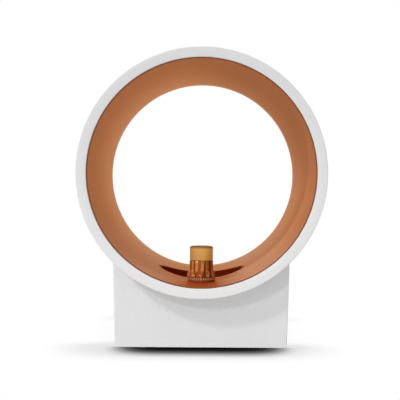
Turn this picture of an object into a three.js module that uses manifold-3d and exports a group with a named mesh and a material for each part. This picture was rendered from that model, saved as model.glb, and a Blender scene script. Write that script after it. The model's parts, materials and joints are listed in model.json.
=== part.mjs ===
// Cylindrical wall light: a white tube with a copper lining stands off the wall on a tapered wall box.
// A bi-pin lampholder in a metal cover sits inside the tube, beside a round opening into the wall box.
// Millimetres, +Z away from the wall, tube along Y, origin in the middle of the wall box's open face.

import * as THREE from "three";
import { mergeVertices } from "three/addons/utils/BufferGeometryUtils.js";
import Module from "manifold-3d";

const wasm = await Module();
wasm.setup();

// Tube and lining
const TUBE_DIAMETER = 200;
const TUBE_WALL = 8.3;
const TUBE_LENGTH = 250;
const RIM_ROUNDING = 0.7;
const STANDOFF = 41;
const LINING_THICKNESS = 0.8;
const LINING_RECESS = 0.8;

// Wall box
const BOX_WIDTH = 139.4;
const BOX_SETBACK = 20;
const BOX_WALL = 6;
const BOX_EDGE_ROUNDING = 1;
const BOX_DRAFT_DEGREES = 1.48;
const SADDLE_THICKNESS = 5;
const BOSS_DIAMETER = 24;
const BOSS_DROP = 1;

// Round opening in the tube's wall side
const OPENING_DIAMETER = 77.4;
const OPENING_OFFSET = 0;
const OPENING_COLLAR_DROP = 0.7;

// Lampholder cover, from the lining upwards
const HOLDER_SETBACK = 53;
const PACKING_THICKNESS = 1.2;
const BASE_RING_DIAMETER = 23.8;
const BASE_RING_HEIGHT = 2.4;
const BASE_RING_FLOOR = 1.6;
const BEAD_COUNT = 36;
const BEAD_DEPTH = 0.4;
const COLLAR_DIAMETER = 19.6;
const COLLAR_HEIGHT = 13.6;
const COLLAR_WALL = 0.5;
const COLLAR_FLARE = 2.4;
const COLLAR_FLARE_HEIGHT = 5.3;
const COLLAR_FLARE_SHARES = [0.94, 1, 0.95, 0.75, 0];
const COLLAR_LIP = 0.5;
const FLUTE_COUNT = 12;
const FLUTE_TURN_DEGREES = 6;
const FLUTE_DEPTH = 0.75;
const FLUTE_CREST_SHARE = 0.8;
const FLUTE_RUN_OUT = 1.6;
const FLUTE_RUN_OUT_HEIGHT = 2;
const FLARE_RIDGE_POWER = 5;
const SLEEVE_DIAMETER = 19.2;
const SLEEVE_HEIGHT = 11.6;
const SLEEVE_WALL = 0.6;
const SLEEVE_ROUNDING = 1.4;
const SLEEVE_MOUTH_DIAMETER = 14;
const SLEEVE_LIP = 1.1;

// Ceramic core and its contacts
const CORE_SLOT_LENGTH = 12.8;
const CORE_SLOT_WIDTH = 5.6;
const CORE_SLOT_DEPTH = 8.5;
const CORE_CHAMBER_DIAMETER = 12.6;
const CORE_CHAMBER_HEIGHT = 5.4;
const PIN_SPACING = 9;
const PIN_POCKET_DIAMETER = 3;
const PIN_BORE = 1.2;
const CONTACT_HEIGHT = 4;
const CONTACT_FLOOR = 0.8;
const CORE_PAD_RISE = 0.5;
const CORE_PAD_MARGIN = 0.8;

// Nipple through the tube wall and what clamps it
const NIPPLE_DIAMETER = 10;
const NIPPLE_BORE = 7.6;
const NIPPLE_TAIL = 1.4;
const NIPPLE_EDGE = 0.4;
const CARRIER_THICKNESS = 1.5;
const NUT_ACROSS_FLATS = 14;
const NUT_HEIGHT = 4;
const LOCK_WASHER_DIAMETER = 16;
const LOCK_WASHER_THICKNESS = 1;
const LOCK_TOOTH_COUNT = 12;
const LOCK_TOOTH_DEPTH = 1.2;
const TAG_THICKNESS = 0.8;
const TAG_DIAMETER = 17;
const TAG_TAIL_LENGTH = 9;
const TAG_TAIL_WIDTH = 4.6;
const TAIL_OVERLAP = 0.8;

// Wall bracket
const BRACKET_SHEET = 1.5;
const BRACKET_LENGTH = 88;
const BRACKET_TAB_WIDTH = 26;
const BRACKET_TAB_HEIGHT = 24;
const BRACKET_PLAY = 0.5;
const FIXING_SPACING = 60;
const FIXING_SLOT_WIDTH = 5.2;
const FIXING_SLOT_LENGTH = 16;
const FIXING_SLOT_END_FLAT = 0.1;
const GROMMET_DIAMETER = 17;
const GROMMET_BORE = 9;
const GROMMET_WALL = 1.8;
const GROMMET_LIP = 1.6;

// Screws: thread diameter, head diameter and head height
const SIDE_SCREW = { thread: 4, head: 7.6, headHeight: 2.6, slotWidth: 1, slotDepth: 1.1 };
const SIDE_SCREW_HEIGHT = 14;
const SIDE_SCREW_SINK = 3.1;
const SIDE_SCREW_TIP = 1.5;
const SIDE_NUT_ACROSS_FLATS = 7;
const SIDE_NUT_HEIGHT = 3.2;
const SADDLE_SCREW = { thread: 4, head: 7.4, headHeight: 2.4, slotWidth: 1, slotDepth: 1 };
const SADDLE_SCREW_GRIP = 5.5;
const SADDLE_SCREW_LEAN_DEGREES = 14;
const SADDLE_SCREW_END_MARGIN = 13;
const BLOCK_SCREW = { thread: 2.8, head: 4.2, headHeight: 1.8, slotWidth: 0.7, slotDepth: 0.8 };
const TERMINAL_SCREW = { thread: 2.6, head: 2.6, headHeight: 1.2, slotWidth: 0.6, slotDepth: 0.7 };
const EARTH_SCREW = { thread: 4, head: 8, headHeight: 2.6, slotWidth: 1, slotDepth: 1.1 };
const SCREW_PROTRUSION = 0.1;

// Terminal block
const BLOCK_POLE_PITCH = 10;
const BLOCK_POLE_COUNT = 3;
const BLOCK_LENGTH = 17;
const BLOCK_HEIGHT = 13;
const BLOCK_SETBACK = 20;
const FERRULE_DIAMETER = 5.6;
const FERRULE_BORE = 3.4;
const FERRULE_INSET = 1.6;
const FERRULE_HEIGHT_SHARE = 0.5;
const FERRULE_SCREW_SHARE = 0.27;

// Leads
const LEAD_DIAMETER = 1.8;
const LEAD_SPREAD = 2.4;
const LEAD_ENTRY = 3;
const LEAD_STEPS = 22;
const LEAD_SIDES = 6;
const BOND_STEPS = 16;
const LEAD_BEND_SHARES = [0.16, 0.55, 0.88];
const LEAD_DROP_SHARES = [0.55, 0.97];
const EARTH_SIDE_SHARES = [0.05, 0.5];
const EARTH_BEND_SHARES = [0.02, 0.25, 0.75];
const EARTH_DROP_SHARES = [0.35, 0.8];
const BOND_LOOP_SHARE = 0.25;
const BOND_SIDE_SHARES = [0.15, 0.6];
const RING_TERMINAL_THICKNESS = 0.8;
const RING_TERMINAL_DIAMETER = 8.4;
const RING_TERMINAL_TAIL = 5;
const RING_TERMINAL_TAIL_WIDTH = 3.6;
const EARTH_SCREW_REACH = 30;

// Shared clearances and roundness
const GAP = 0.3;
const CUT_OVERRUN = 2;
const MERGE_TOLERANCE = 0.0001;
const HOLLOWED_FROM_SHARE = 0.75;
const LARGE_SIDES = 96;
const OPENING_SIDES = 48;
const SMALL_SIDES = 24;
const SCREW_SIDES = 12;
const FLUTE_STEPS = 8;
const BEAD_STEPS = 2;
const CORNER_STEPS = 3;

// Sizes worked out from the values above
const TUBE_RADIUS = TUBE_DIAMETER / 2;
const TUBE_INNER_RADIUS = TUBE_RADIUS - TUBE_WALL;
const LINING_OUTER_RADIUS = TUBE_INNER_RADIUS - GAP;
const LINING_RADIUS = LINING_OUTER_RADIUS - LINING_THICKNESS;
const AXIS_HEIGHT = STANDOFF + TUBE_RADIUS;
const TUBE_HALF = TUBE_LENGTH / 2;
const BOX_LENGTH = TUBE_LENGTH - 2 * BOX_SETBACK;
const BOX_SLOPE = Math.tan(THREE.MathUtils.degToRad(BOX_DRAFT_DEGREES));
const SADDLE_TOP_RADIUS = TUBE_RADIUS + GAP;
const SADDLE_RADIUS = SADDLE_TOP_RADIUS + SADDLE_THICKNESS;
const SADDLE_FOOT = AXIS_HEIGHT - SADDLE_RADIUS;
const BOSS_FOOT = SADDLE_FOOT - BOSS_DROP;
const OPENING_RADIUS = OPENING_DIAMETER / 2;
const COLLAR_TUBE_RADIUS = OPENING_RADIUS + LINING_THICKNESS;
const FLOOR_HEIGHT = AXIS_HEIGHT - LINING_RADIUS;
const HOLDER_Y = HOLDER_SETBACK - TUBE_HALF;

const PACKING_TOP = FLOOR_HEIGHT + GAP + PACKING_THICKNESS;
const BASE_RING_FOOT = PACKING_TOP + GAP;
const BASE_RING_TOP = BASE_RING_FOOT + BASE_RING_HEIGHT;
const COLLAR_FOOT = BASE_RING_TOP + GAP;
const COLLAR_TOP = COLLAR_FOOT + COLLAR_HEIGHT;
const COLLAR_BORE = COLLAR_DIAMETER / 2 - FLUTE_DEPTH - COLLAR_WALL;
const SHANK_RADIUS = COLLAR_BORE - GAP;
const SLEEVE_BORE = SHANK_RADIUS - SLEEVE_WALL;
const SHOULDER_HEIGHT = COLLAR_TOP + GAP;
const SLEEVE_TOP = SHOULDER_HEIGHT + SLEEVE_HEIGHT;
const CORE_RADIUS = SLEEVE_BORE - GAP;
const CARRIER_FOOT = BASE_RING_FOOT + BASE_RING_FLOOR + GAP;
const CARRIER_TOP = CARRIER_FOOT + CARRIER_THICKNESS;
const CORE_FOOT = CARRIER_TOP + GAP;
const CORE_TOP = SLEEVE_TOP - SLEEVE_LIP - GAP;
const SLOT_FLOOR = CORE_TOP - CORE_SLOT_DEPTH;
const CHAMBER_TOP = CORE_FOOT + CORE_CHAMBER_HEIGHT;
const CONTACT_FOOT = SLOT_FLOOR - GAP - CONTACT_HEIGHT;

const TAG_TOP = BOSS_FOOT - GAP;
const TAG_FOOT = TAG_TOP - TAG_THICKNESS;
const LOCK_WASHER_TOP = TAG_FOOT - GAP;
const LOCK_WASHER_FOOT = LOCK_WASHER_TOP - LOCK_WASHER_THICKNESS;
const NUT_TOP = LOCK_WASHER_FOOT - GAP;
const NUT_FOOT = NUT_TOP - NUT_HEIGHT;
const NIPPLE_FOOT = NUT_FOOT - NIPPLE_TAIL;

const BRACKET_FOOT = GAP;
const BRACKET_TOP = BRACKET_FOOT + BRACKET_SHEET;
const BRACKET_HALF_WIDTH = BOX_WIDTH / 2 - BOX_WALL - BRACKET_PLAY;
const BRACKET_Y = OPENING_OFFSET;
const BLOCK_FOOT = BRACKET_TOP + GAP;
const BLOCK_TOP = BLOCK_FOOT + BLOCK_HEIGHT;
const BLOCK_WIDTH = BLOCK_POLE_PITCH * BLOCK_POLE_COUNT;
const BLOCK_Y = BRACKET_Y - BRACKET_LENGTH / 2 + BLOCK_SETBACK - BLOCK_LENGTH / 2;
const FERRULE_LENGTH = BLOCK_LENGTH - 2 * FERRULE_INSET;
const POLE_HEIGHT = BLOCK_FOOT + BLOCK_HEIGHT * FERRULE_HEIGHT_SHARE;
const EARTH_SCREW_Y = BLOCK_Y + BLOCK_LENGTH / 2;

// Finishes
const finish = (color, roughness, metalness) =>
  new THREE.MeshStandardMaterial({ color, roughness, metalness });
const WHITE_COAT = finish(0xe3e2e0, 0.72, 0);
const COPPER_COAT = finish(0xb47250, 0.38, 0.85);
const DARK_BRONZE = finish(0x5c3426, 0.35, 0.9);
const POLISHED_COPPER = finish(0xb06a35, 0.18, 1);
const SATIN_BRASS = finish(0xcd9650, 0.42, 0.8);
const CERAMIC = finish(0xece6d8, 0.5, 0);
const BRASS = finish(0xc9a45c, 0.3, 1);
const PLATED_STEEL = finish(0xb9bcbf, 0.35, 1);
const BLOCK_PLASTIC = finish(0xe9e7df, 0.55, 0);
const GROMMET_RUBBER = finish(0x1f1f20, 0.85, 0);
const PACKING_FIBRE = finish(0x3a241a, 0.8, 0);
const LIVE_SLEEVE = finish(0x5f3a1f, 0.6, 0);
const NEUTRAL_SLEEVE = finish(0x2c5f9e, 0.6, 0);
const EARTH_SLEEVE = finish(0x7ea23a, 0.6, 0);

// Turns a closed geometry into a solid that can be cut and joined.
function solid(geometry) {
  const bare = geometry.index ? geometry.toNonIndexed() : geometry.clone();
  for (const name of Object.keys(bare.attributes)) {
    if (name !== "position") bare.deleteAttribute(name);
  }
  const merged = mergeVertices(bare, MERGE_TOLERANCE);
  const corners = merged.index.array;
  const kept = [];
  for (let i = 0; i < corners.length; i += 3) {
    const [a, b, c] = [corners[i], corners[i + 1], corners[i + 2]];
    if (a !== b && b !== c && c !== a) kept.push(a, b, c);
  }
  const mesh = new wasm.Mesh({
    numProp: 3,
    vertProperties: new Float32Array(merged.attributes.position.array),
    triVerts: new Uint32Array(kept),
  });
  return new wasm.Manifold(mesh);
}

function geometryOf(body) {
  const mesh = body.getMesh();
  const places = new Float32Array(mesh.numVert * 3);
  for (let i = 0; i < mesh.numVert; i += 1) {
    const start = i * mesh.numProp;
    places.set(mesh.vertProperties.subarray(start, start + 3), i * 3);
  }
  const geometry = new THREE.BufferGeometry();
  geometry.setAttribute("position", new THREE.BufferAttribute(places, 3));
  geometry.setIndex(new THREE.BufferAttribute(new Uint32Array(mesh.triVerts), 1));
  const faceted = geometry.toNonIndexed();
  faceted.computeVertexNormals();
  return faceted;
}

const nippleHole = NIPPLE_DIAMETER / 2 + GAP;

const cutFrom = (body, cutters) => cutters.reduce((left, cutter) => left.subtract(cutter), body);

// Lathe profile points as [radius, height], in either order round the section.
function turnedGeometry(profile, sides) {
  const points = profile.map(([radius, height]) => new THREE.Vector2(radius, height));
  const onAxis = profile.some(([radius]) => radius === 0);
  if (THREE.ShapeUtils.area(points) < 0) points.reverse();
  while (onAxis && (points[0].x !== 0 || points.at(-1).x !== 0)) points.push(points.shift());
  if (!onAxis) points.push(points[0].clone());
  return new THREE.LatheGeometry(points, sides);
}

// A turned solid that stands along Z.
const turned = (profile, sides = SMALL_SIDES) =>
  solid(turnedGeometry(profile, sides).rotateX(Math.PI / 2));

// A turned solid that lies along the tube's axis.
const turnedOnTube = (profile) =>
  solid(turnedGeometry(profile, LARGE_SIDES).translate(0, 0, AXIS_HEIGHT));

const ringProfile = (inner, outer, low, high) => [
  [inner, low],
  [outer, low],
  [outer, high],
  [inner, high],
];

const drumProfile = (radius, low, high) => [
  [0, low],
  [radius, low],
  [radius, high],
  [0, high],
];

const drum = (radius, low, high, sides = SMALL_SIDES) =>
  turned(drumProfile(radius, low, high), sides);
const ring = (inner, outer, low, high, sides = SMALL_SIDES) =>
  turned(ringProfile(inner, outer, low, high), sides);

function block(width, depth, low, high) {
  return solid(new THREE.BoxGeometry(width, depth, high - low).translate(0, 0, (low + high) / 2));
}

function roundedOutline(width, depth, radius) {
  const [x, y] = [width / 2 - radius, depth / 2 - radius];
  const shape = new THREE.Shape();
  shape.absarc(x, y, radius, 0, Math.PI / 2, false);
  shape.absarc(-x, y, radius, Math.PI / 2, Math.PI, false);
  shape.absarc(-x, -y, radius, Math.PI, (3 * Math.PI) / 2, false);
  shape.absarc(x, -y, radius, (3 * Math.PI) / 2, 2 * Math.PI, false);
  return shape;
}

function raised(shape, low, high, curveSegments) {
  const depth = high - low;
  const settings = { depth, bevelEnabled: false, curveSegments };
  return new THREE.ExtrudeGeometry(shape, settings).translate(0, 0, low);
}

// A rounded block whose four sides spread outwards with height, as a moulded box does.
function draftedBlock(width, depth, low, high) {
  const geometry = raised(roundedOutline(width, depth, BOX_EDGE_ROUNDING), low, high, CORNER_STEPS);
  const place = geometry.attributes.position;
  for (let i = 0; i < place.count; i += 1) {
    const spread = place.getZ(i) * BOX_SLOPE;
    place.setX(i, place.getX(i) + Math.sign(place.getX(i)) * spread);
    place.setY(i, place.getY(i) + Math.sign(place.getY(i)) * spread);
  }
  return solid(geometry);
}

function hexagon(acrossFlats, low, high) {
  const corner = acrossFlats / Math.sqrt(3);
  return drum(corner, low, high, 6);
}

// Presses repeated hollows into the outside of a turned geometry between two heights.
function hollowed(geometry, count, depth, low, high, fade) {
  const place = geometry.attributes.position;
  const radii = Array.from({ length: place.count }, (_, i) => Math.hypot(place.getX(i), place.getZ(i)));
  const outer = Math.max(...radii);
  for (let i = 0; i < place.count; i += 1) {
    const [x, y, z] = [place.getX(i), place.getY(i), place.getZ(i)];
    const radius = radii[i];
    const inside = Math.min(y - low, high - y);
    if (inside < 0 || radius < outer * HOLLOWED_FROM_SHARE) continue;
    const wave = (1 - Math.cos(count * Math.atan2(x, z))) / 2;
    const scale = (radius - depth * wave * Math.min(1, inside / fade)) / radius;
    place.setXYZ(i, x * scale, y, z * scale);
  }
  return geometry;
}

// A screw that points down from its head's underside, with its head above.
function screw(size, length) {
  const radius = size.thread / 2;
  const point = radius / 3;
  const profile = [
    [0, -length],
    [radius - point, -length],
    [radius, point - length],
    [radius, 0],
    [size.head / 2, 0],
    [size.head / 2, size.headHeight],
    [0, size.headHeight],
  ];
  const slotLength = size.head + CUT_OVERRUN;
  const slotFloor = size.headHeight - size.slotDepth;
  return turned(profile, SCREW_SIDES).subtract(
    block(slotLength, size.slotWidth, slotFloor, size.headHeight + CUT_OVERRUN),
  );
}

// Makes a named mesh, moved by x, y and z.
function piece(name, body, material, x = 0, y = 0, z = 0) {
  const mesh = new THREE.Mesh(geometryOf(body), material);
  mesh.name = name;
  mesh.position.set(x, y, z);
  return mesh;
}

const openingDrum = (radius, low) =>
  drum(radius, low, AXIS_HEIGHT, OPENING_SIDES).translate([0, OPENING_OFFSET, 0]);
const openingCut = (radius) => openingDrum(radius, -CUT_OVERRUN);
const nippleCut = () => drum(nippleHole, -CUT_OVERRUN, AXIS_HEIGHT).translate([0, HOLDER_Y, 0]);
const tubeCore = (radius) => {
  const reach = TUBE_HALF + CUT_OVERRUN;
  return turnedOnTube(drumProfile(radius, -reach, reach));
};

// Places of the four screws that hold the tube to the saddle, as turns about the tube's axis.
const SADDLE_SCREW_PLACES = [-1, 1].flatMap((side) =>
  [-1, 1].map((end) => ({
    angle: THREE.MathUtils.degToRad(SADDLE_SCREW_LEAN_DEGREES) * side,
    y: end * (BOX_LENGTH / 2 - SADDLE_SCREW_END_MARGIN),
  })),
);

// A cutter along each saddle screw, between two distances from the tube's axis.
function saddleScrewCuts(radius, near, far) {
  return SADDLE_SCREW_PLACES.map(({ angle, y }) =>
    drum(radius, -far, -near, SCREW_SIDES)
      .rotate([0, THREE.MathUtils.radToDeg(angle), 0])
      .translate([0, y, AXIS_HEIGHT]),
  );
}

const saddleScrewHole = SADDLE_SCREW.thread / 2 + GAP;
const saddleScrewTip = TUBE_RADIUS - SADDLE_SCREW_GRIP - GAP;

function tubeShell() {
  const [inner, outer, half, edge] = [TUBE_INNER_RADIUS, TUBE_RADIUS, TUBE_HALF, RIM_ROUNDING];
  const shell = turnedOnTube([
    [inner, -half + edge],
    [inner + edge, -half],
    [outer - edge, -half],
    [outer, -half + edge],
    [outer, half - edge],
    [outer - edge, half],
    [inner + edge, half],
    [inner, half - edge],
  ]);
  return cutFrom(shell, [
    openingCut(COLLAR_TUBE_RADIUS + GAP),
    nippleCut(),
    ...saddleScrewCuts(saddleScrewHole, saddleScrewTip, SADDLE_RADIUS),
  ]);
}

function copperLining() {
  const half = TUBE_HALF - LINING_RECESS;
  const sheet = turnedOnTube(ringProfile(LINING_RADIUS, LINING_OUTER_RADIUS, -half, half));
  const collarFoot = SADDLE_FOOT - OPENING_COLLAR_DROP;
  const collar = openingDrum(COLLAR_TUBE_RADIUS, collarFoot).subtract(tubeCore(LINING_RADIUS));
  return cutFrom(sheet.add(collar), [openingCut(OPENING_RADIUS), nippleCut()]);
}

function sideScrewCuts() {
  const depth = BOX_WIDTH / 2 + BOX_SLOPE * SIDE_SCREW_HEIGHT;
  const clear = drum(SIDE_SCREW.thread / 2 + GAP, 0, TUBE_RADIUS, SCREW_SIDES);
  const sink = drum(SIDE_SCREW.head / 2 + GAP, depth - SIDE_SCREW_SINK, TUBE_RADIUS, SCREW_SIDES);
  return [-1, 1].map((side) =>
    clear
      .add(sink)
      .rotate([0, 90 * side, 0])
      .translate([0, BRACKET_Y, SIDE_SCREW_HEIGHT]),
  );
}

function wallBox() {
  const outside = draftedBlock(BOX_WIDTH, BOX_LENGTH, 0, AXIS_HEIGHT);
  const [innerWidth, innerLength] = [BOX_WIDTH - 2 * BOX_WALL, BOX_LENGTH - 2 * BOX_WALL];
  const inside = draftedBlock(innerWidth, innerLength, -CUT_OVERRUN, AXIS_HEIGHT);
  const boss = drum(BOSS_DIAMETER / 2, BOSS_FOOT, STANDOFF).translate([0, HOLDER_Y, 0]);
  const hollow = inside.subtract(tubeCore(SADDLE_RADIUS)).subtract(boss);
  return cutFrom(outside, [
    tubeCore(SADDLE_TOP_RADIUS),
    hollow,
    openingCut(COLLAR_TUBE_RADIUS + GAP),
    nippleCut(),
    ...saddleScrewCuts(saddleScrewHole, 0, SADDLE_RADIUS + BOSS_DROP),
    ...sideScrewCuts(),
  ]);
}

// The four saddle screws stand head down under the saddle and reach into the tube wall.
function saddleScrews() {
  const length = SADDLE_RADIUS + GAP - (saddleScrewTip + GAP);
  return SADDLE_SCREW_PLACES.map(({ angle, y }, index) => {
    const mesh = piece(`saddle_screw_${index + 1}`, screw(SADDLE_SCREW, length), PLATED_STEEL);
    mesh.rotation.x = Math.PI;
    mesh.position.z = -(SADDLE_RADIUS + GAP);
    const leaning = new THREE.Group();
    leaning.add(mesh);
    leaning.rotation.y = angle;
    leaning.position.set(0, y, AXIS_HEIGHT);
    return leaning;
  });
}

function packing() {
  const foot = FLOOR_HEIGHT;
  const disc = drum(BASE_RING_DIAMETER / 2 - BEAD_DEPTH, foot, PACKING_TOP).translate([0, HOLDER_Y, 0]);
  const lining = turnedOnTube(
    ringProfile(LINING_RADIUS - GAP, TUBE_RADIUS, -TUBE_HALF, TUBE_HALF),
  );
  return cutFrom(disc, [lining, nippleCut()]);
}

// The beaded ring that carries the cover, open in the middle for the nipple and recessed for the carrier.
function baseRing() {
  const [outer, edge] = [BASE_RING_DIAMETER / 2, BEAD_DEPTH];
  const recess = COLLAR_BORE;
  const recessFloor = BASE_RING_FOOT + BASE_RING_FLOOR;
  const geometry = turnedGeometry(
    [
      [nippleHole, BASE_RING_FOOT],
      [outer - edge, BASE_RING_FOOT],
      [outer, BASE_RING_FOOT + edge],
      [outer, BASE_RING_TOP - edge],
      [outer - edge, BASE_RING_TOP],
      [recess, BASE_RING_TOP],
      [recess, recessFloor],
      [nippleHole, recessFloor],
    ],
    BEAD_COUNT * BEAD_STEPS,
  );
  hollowed(geometry, BEAD_COUNT, BEAD_DEPTH, BASE_RING_FOOT, BASE_RING_TOP, BEAD_DEPTH);
  return solid(geometry.rotateX(Math.PI / 2));
}

// Cuts upright flutes into the turned collar, so that only the ridges between them follow the flare.
function fluted(geometry) {
  const valley = COLLAR_DIAMETER / 2 - FLUTE_DEPTH;
  const place = geometry.attributes.position;
  for (let i = 0; i < place.count; i += 1) {
    const [x, y, z] = [place.getX(i), place.getY(i), place.getZ(i)];
    const radius = Math.hypot(x, z);
    if (radius < valley) continue;
    const ridge = (1 + Math.cos(FLUTE_COUNT * Math.atan2(x, z))) / 2;
    const runOut = Math.max(0, 1 - (y - COLLAR_FOOT) / FLUTE_RUN_OUT_HEIGHT) ** 2;
    const crest = FLUTE_DEPTH * Math.min(1, ridge / FLUTE_CREST_SHARE);
    const cut = valley + crest + COLLAR_FLARE * ridge ** FLARE_RIDGE_POWER + FLUTE_RUN_OUT * runOut;
    const scale = Math.min(radius, cut) / radius;
    place.setXYZ(i, x * scale, y, z * scale);
  }
  return geometry;
}

// The fluted collar that is gripped by hand: straight flutes above, a flared foot below.
function flutedCollar() {
  const crest = COLLAR_DIAMETER / 2;
  const flareTop = COLLAR_FOOT + COLLAR_FLARE_HEIGHT;
  const flareFoot = COLLAR_FOOT + COLLAR_LIP;
  const flare = COLLAR_FLARE_SHARES.map((share, step, shares) => [
    crest + COLLAR_FLARE * share,
    flareFoot + ((flareTop - flareFoot) * step) / (shares.length - 1),
  ]);
  const geometry = turnedGeometry(
    [
      [COLLAR_BORE, COLLAR_FOOT],
      [flare[0][0], COLLAR_FOOT],
      ...flare,
      [crest, COLLAR_TOP - COLLAR_LIP],
      [crest - FLUTE_DEPTH, COLLAR_TOP],
      [COLLAR_BORE, COLLAR_TOP],
    ],
    FLUTE_COUNT * FLUTE_STEPS,
  );
  const turn = THREE.MathUtils.degToRad(FLUTE_TURN_DEGREES);
  return solid(fluted(geometry).rotateX(Math.PI / 2).rotateZ(turn));
}

// Quarter-round corner from the side of a turned piece to its top face.
function cornerPoints(radius, top, rounding) {
  return Array.from({ length: CORNER_STEPS + 1 }, (_, step) => {
    const turn = ((Math.PI / 2) * step) / CORNER_STEPS;
    return [radius - rounding * (1 - Math.cos(turn)), top - rounding * (1 - Math.sin(turn))];
  });
}

function lampSleeve() {
  return turned([
    [SLEEVE_BORE, CARRIER_TOP],
    [SHANK_RADIUS, CARRIER_TOP],
    [SHANK_RADIUS, SHOULDER_HEIGHT],
    [SLEEVE_DIAMETER / 2, SHOULDER_HEIGHT],
    ...cornerPoints(SLEEVE_DIAMETER / 2, SLEEVE_TOP, SLEEVE_ROUNDING),
    [SLEEVE_MOUTH_DIAMETER / 2, SLEEVE_TOP],
    [SLEEVE_MOUTH_DIAMETER / 2, SLEEVE_TOP - SLEEVE_LIP],
    [SLEEVE_BORE, SLEEVE_TOP - SLEEVE_LIP],
  ]);
}

// A drum under the sleeve's lip, with a pad raised inside the mouth where the lamp's foot sits down.
function ceramicCore() {
  const padRadius = SLEEVE_MOUTH_DIAMETER / 2 - CORE_PAD_MARGIN;
  const body = turned([
    [0, CORE_FOOT],
    [CORE_RADIUS, CORE_FOOT],
    [CORE_RADIUS, CORE_TOP],
    [padRadius, CORE_TOP],
    [padRadius, CORE_TOP + CORE_PAD_RISE],
    [0, CORE_TOP + CORE_PAD_RISE],
  ]);
  const slot = block(CORE_SLOT_LENGTH, CORE_SLOT_WIDTH, SLOT_FLOOR, CORE_TOP + CUT_OVERRUN);
  const chamber = drum(CORE_CHAMBER_DIAMETER / 2, CORE_FOOT - CUT_OVERRUN, CHAMBER_TOP);
  const pockets = [-1, 1].map((side) =>
    drum(PIN_POCKET_DIAMETER / 2, CHAMBER_TOP - GAP, SLOT_FLOOR + GAP, SCREW_SIDES)
      .translate([(side * PIN_SPACING) / 2, 0, 0]),
  );
  return cutFrom(body, [slot, chamber, ...pockets]);
}

const carrierPlate = () => ring(nippleHole, CORE_RADIUS, CARRIER_FOOT, CARRIER_TOP);

// A split spring tube that grips one lamp pin.
function contact(side) {
  const outer = PIN_POCKET_DIAMETER / 2 - GAP;
  const slitLow = CONTACT_FOOT + CONTACT_FLOOR;
  return ring(PIN_BORE / 2, outer, CONTACT_FOOT, CONTACT_FOOT + CONTACT_HEIGHT, SCREW_SIDES)
    .subtract(block(GAP, PIN_POCKET_DIAMETER, slitLow, SLOT_FLOOR))
    .translate([(side * PIN_SPACING) / 2, 0, 0]);
}

function nipple() {
  const [inner, outer, edge] = [NIPPLE_BORE / 2, NIPPLE_DIAMETER / 2, NIPPLE_EDGE];
  return turned([
    [inner, NIPPLE_FOOT],
    [outer - edge, NIPPLE_FOOT],
    [outer, NIPPLE_FOOT + edge],
    [outer, CARRIER_TOP - edge],
    [outer - edge, CARRIER_TOP],
    [inner, CARRIER_TOP],
  ]);
}

const nippleNut = () =>
  hexagon(NUT_ACROSS_FLATS, NUT_FOOT, NUT_TOP).subtract(
    drum(nippleHole, NUT_FOOT - CUT_OVERRUN, NUT_TOP + CUT_OVERRUN),
  );

// A washer with notches round its rim that bite into what it locks.
function lockWasher() {
  const washer = ring(nippleHole, LOCK_WASHER_DIAMETER / 2, LOCK_WASHER_FOOT, LOCK_WASHER_TOP);
  const [low, high] = [LOCK_WASHER_FOOT - CUT_OVERRUN, LOCK_WASHER_TOP + CUT_OVERRUN];
  const notches = Array.from({ length: LOCK_TOOTH_COUNT }, (_, index) =>
    block(2 * LOCK_TOOTH_DEPTH, LOCK_TOOTH_DEPTH, low, high)
      .translate([LOCK_WASHER_DIAMETER / 2, 0, 0])
      .rotate([0, 0, (360 * index) / LOCK_TOOTH_COUNT]),
  );
  return cutFrom(washer, notches);
}

// An eyelet with a flat tail towards +Y.
function eyelet(bore, diameter, tailLength, tailWidth, low, high) {
  const tailMiddle = (diameter + tailLength) / 2 - TAIL_OVERLAP;
  const tail = block(tailWidth, tailLength, low, high).translate([0, tailMiddle, 0]);
  return drum(diameter / 2, low, high)
    .add(tail)
    .subtract(drum(bore, low - CUT_OVERRUN, high + CUT_OVERRUN, SCREW_SIDES));
}

// The tag's tail points to the right, clear of the terminal block.
const earthTag = () =>
  eyelet(nippleHole, TAG_DIAMETER, TAG_TAIL_LENGTH, TAG_TAIL_WIDTH, TAG_FOOT, TAG_TOP)
    .rotate([0, 0, -90]);

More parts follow.
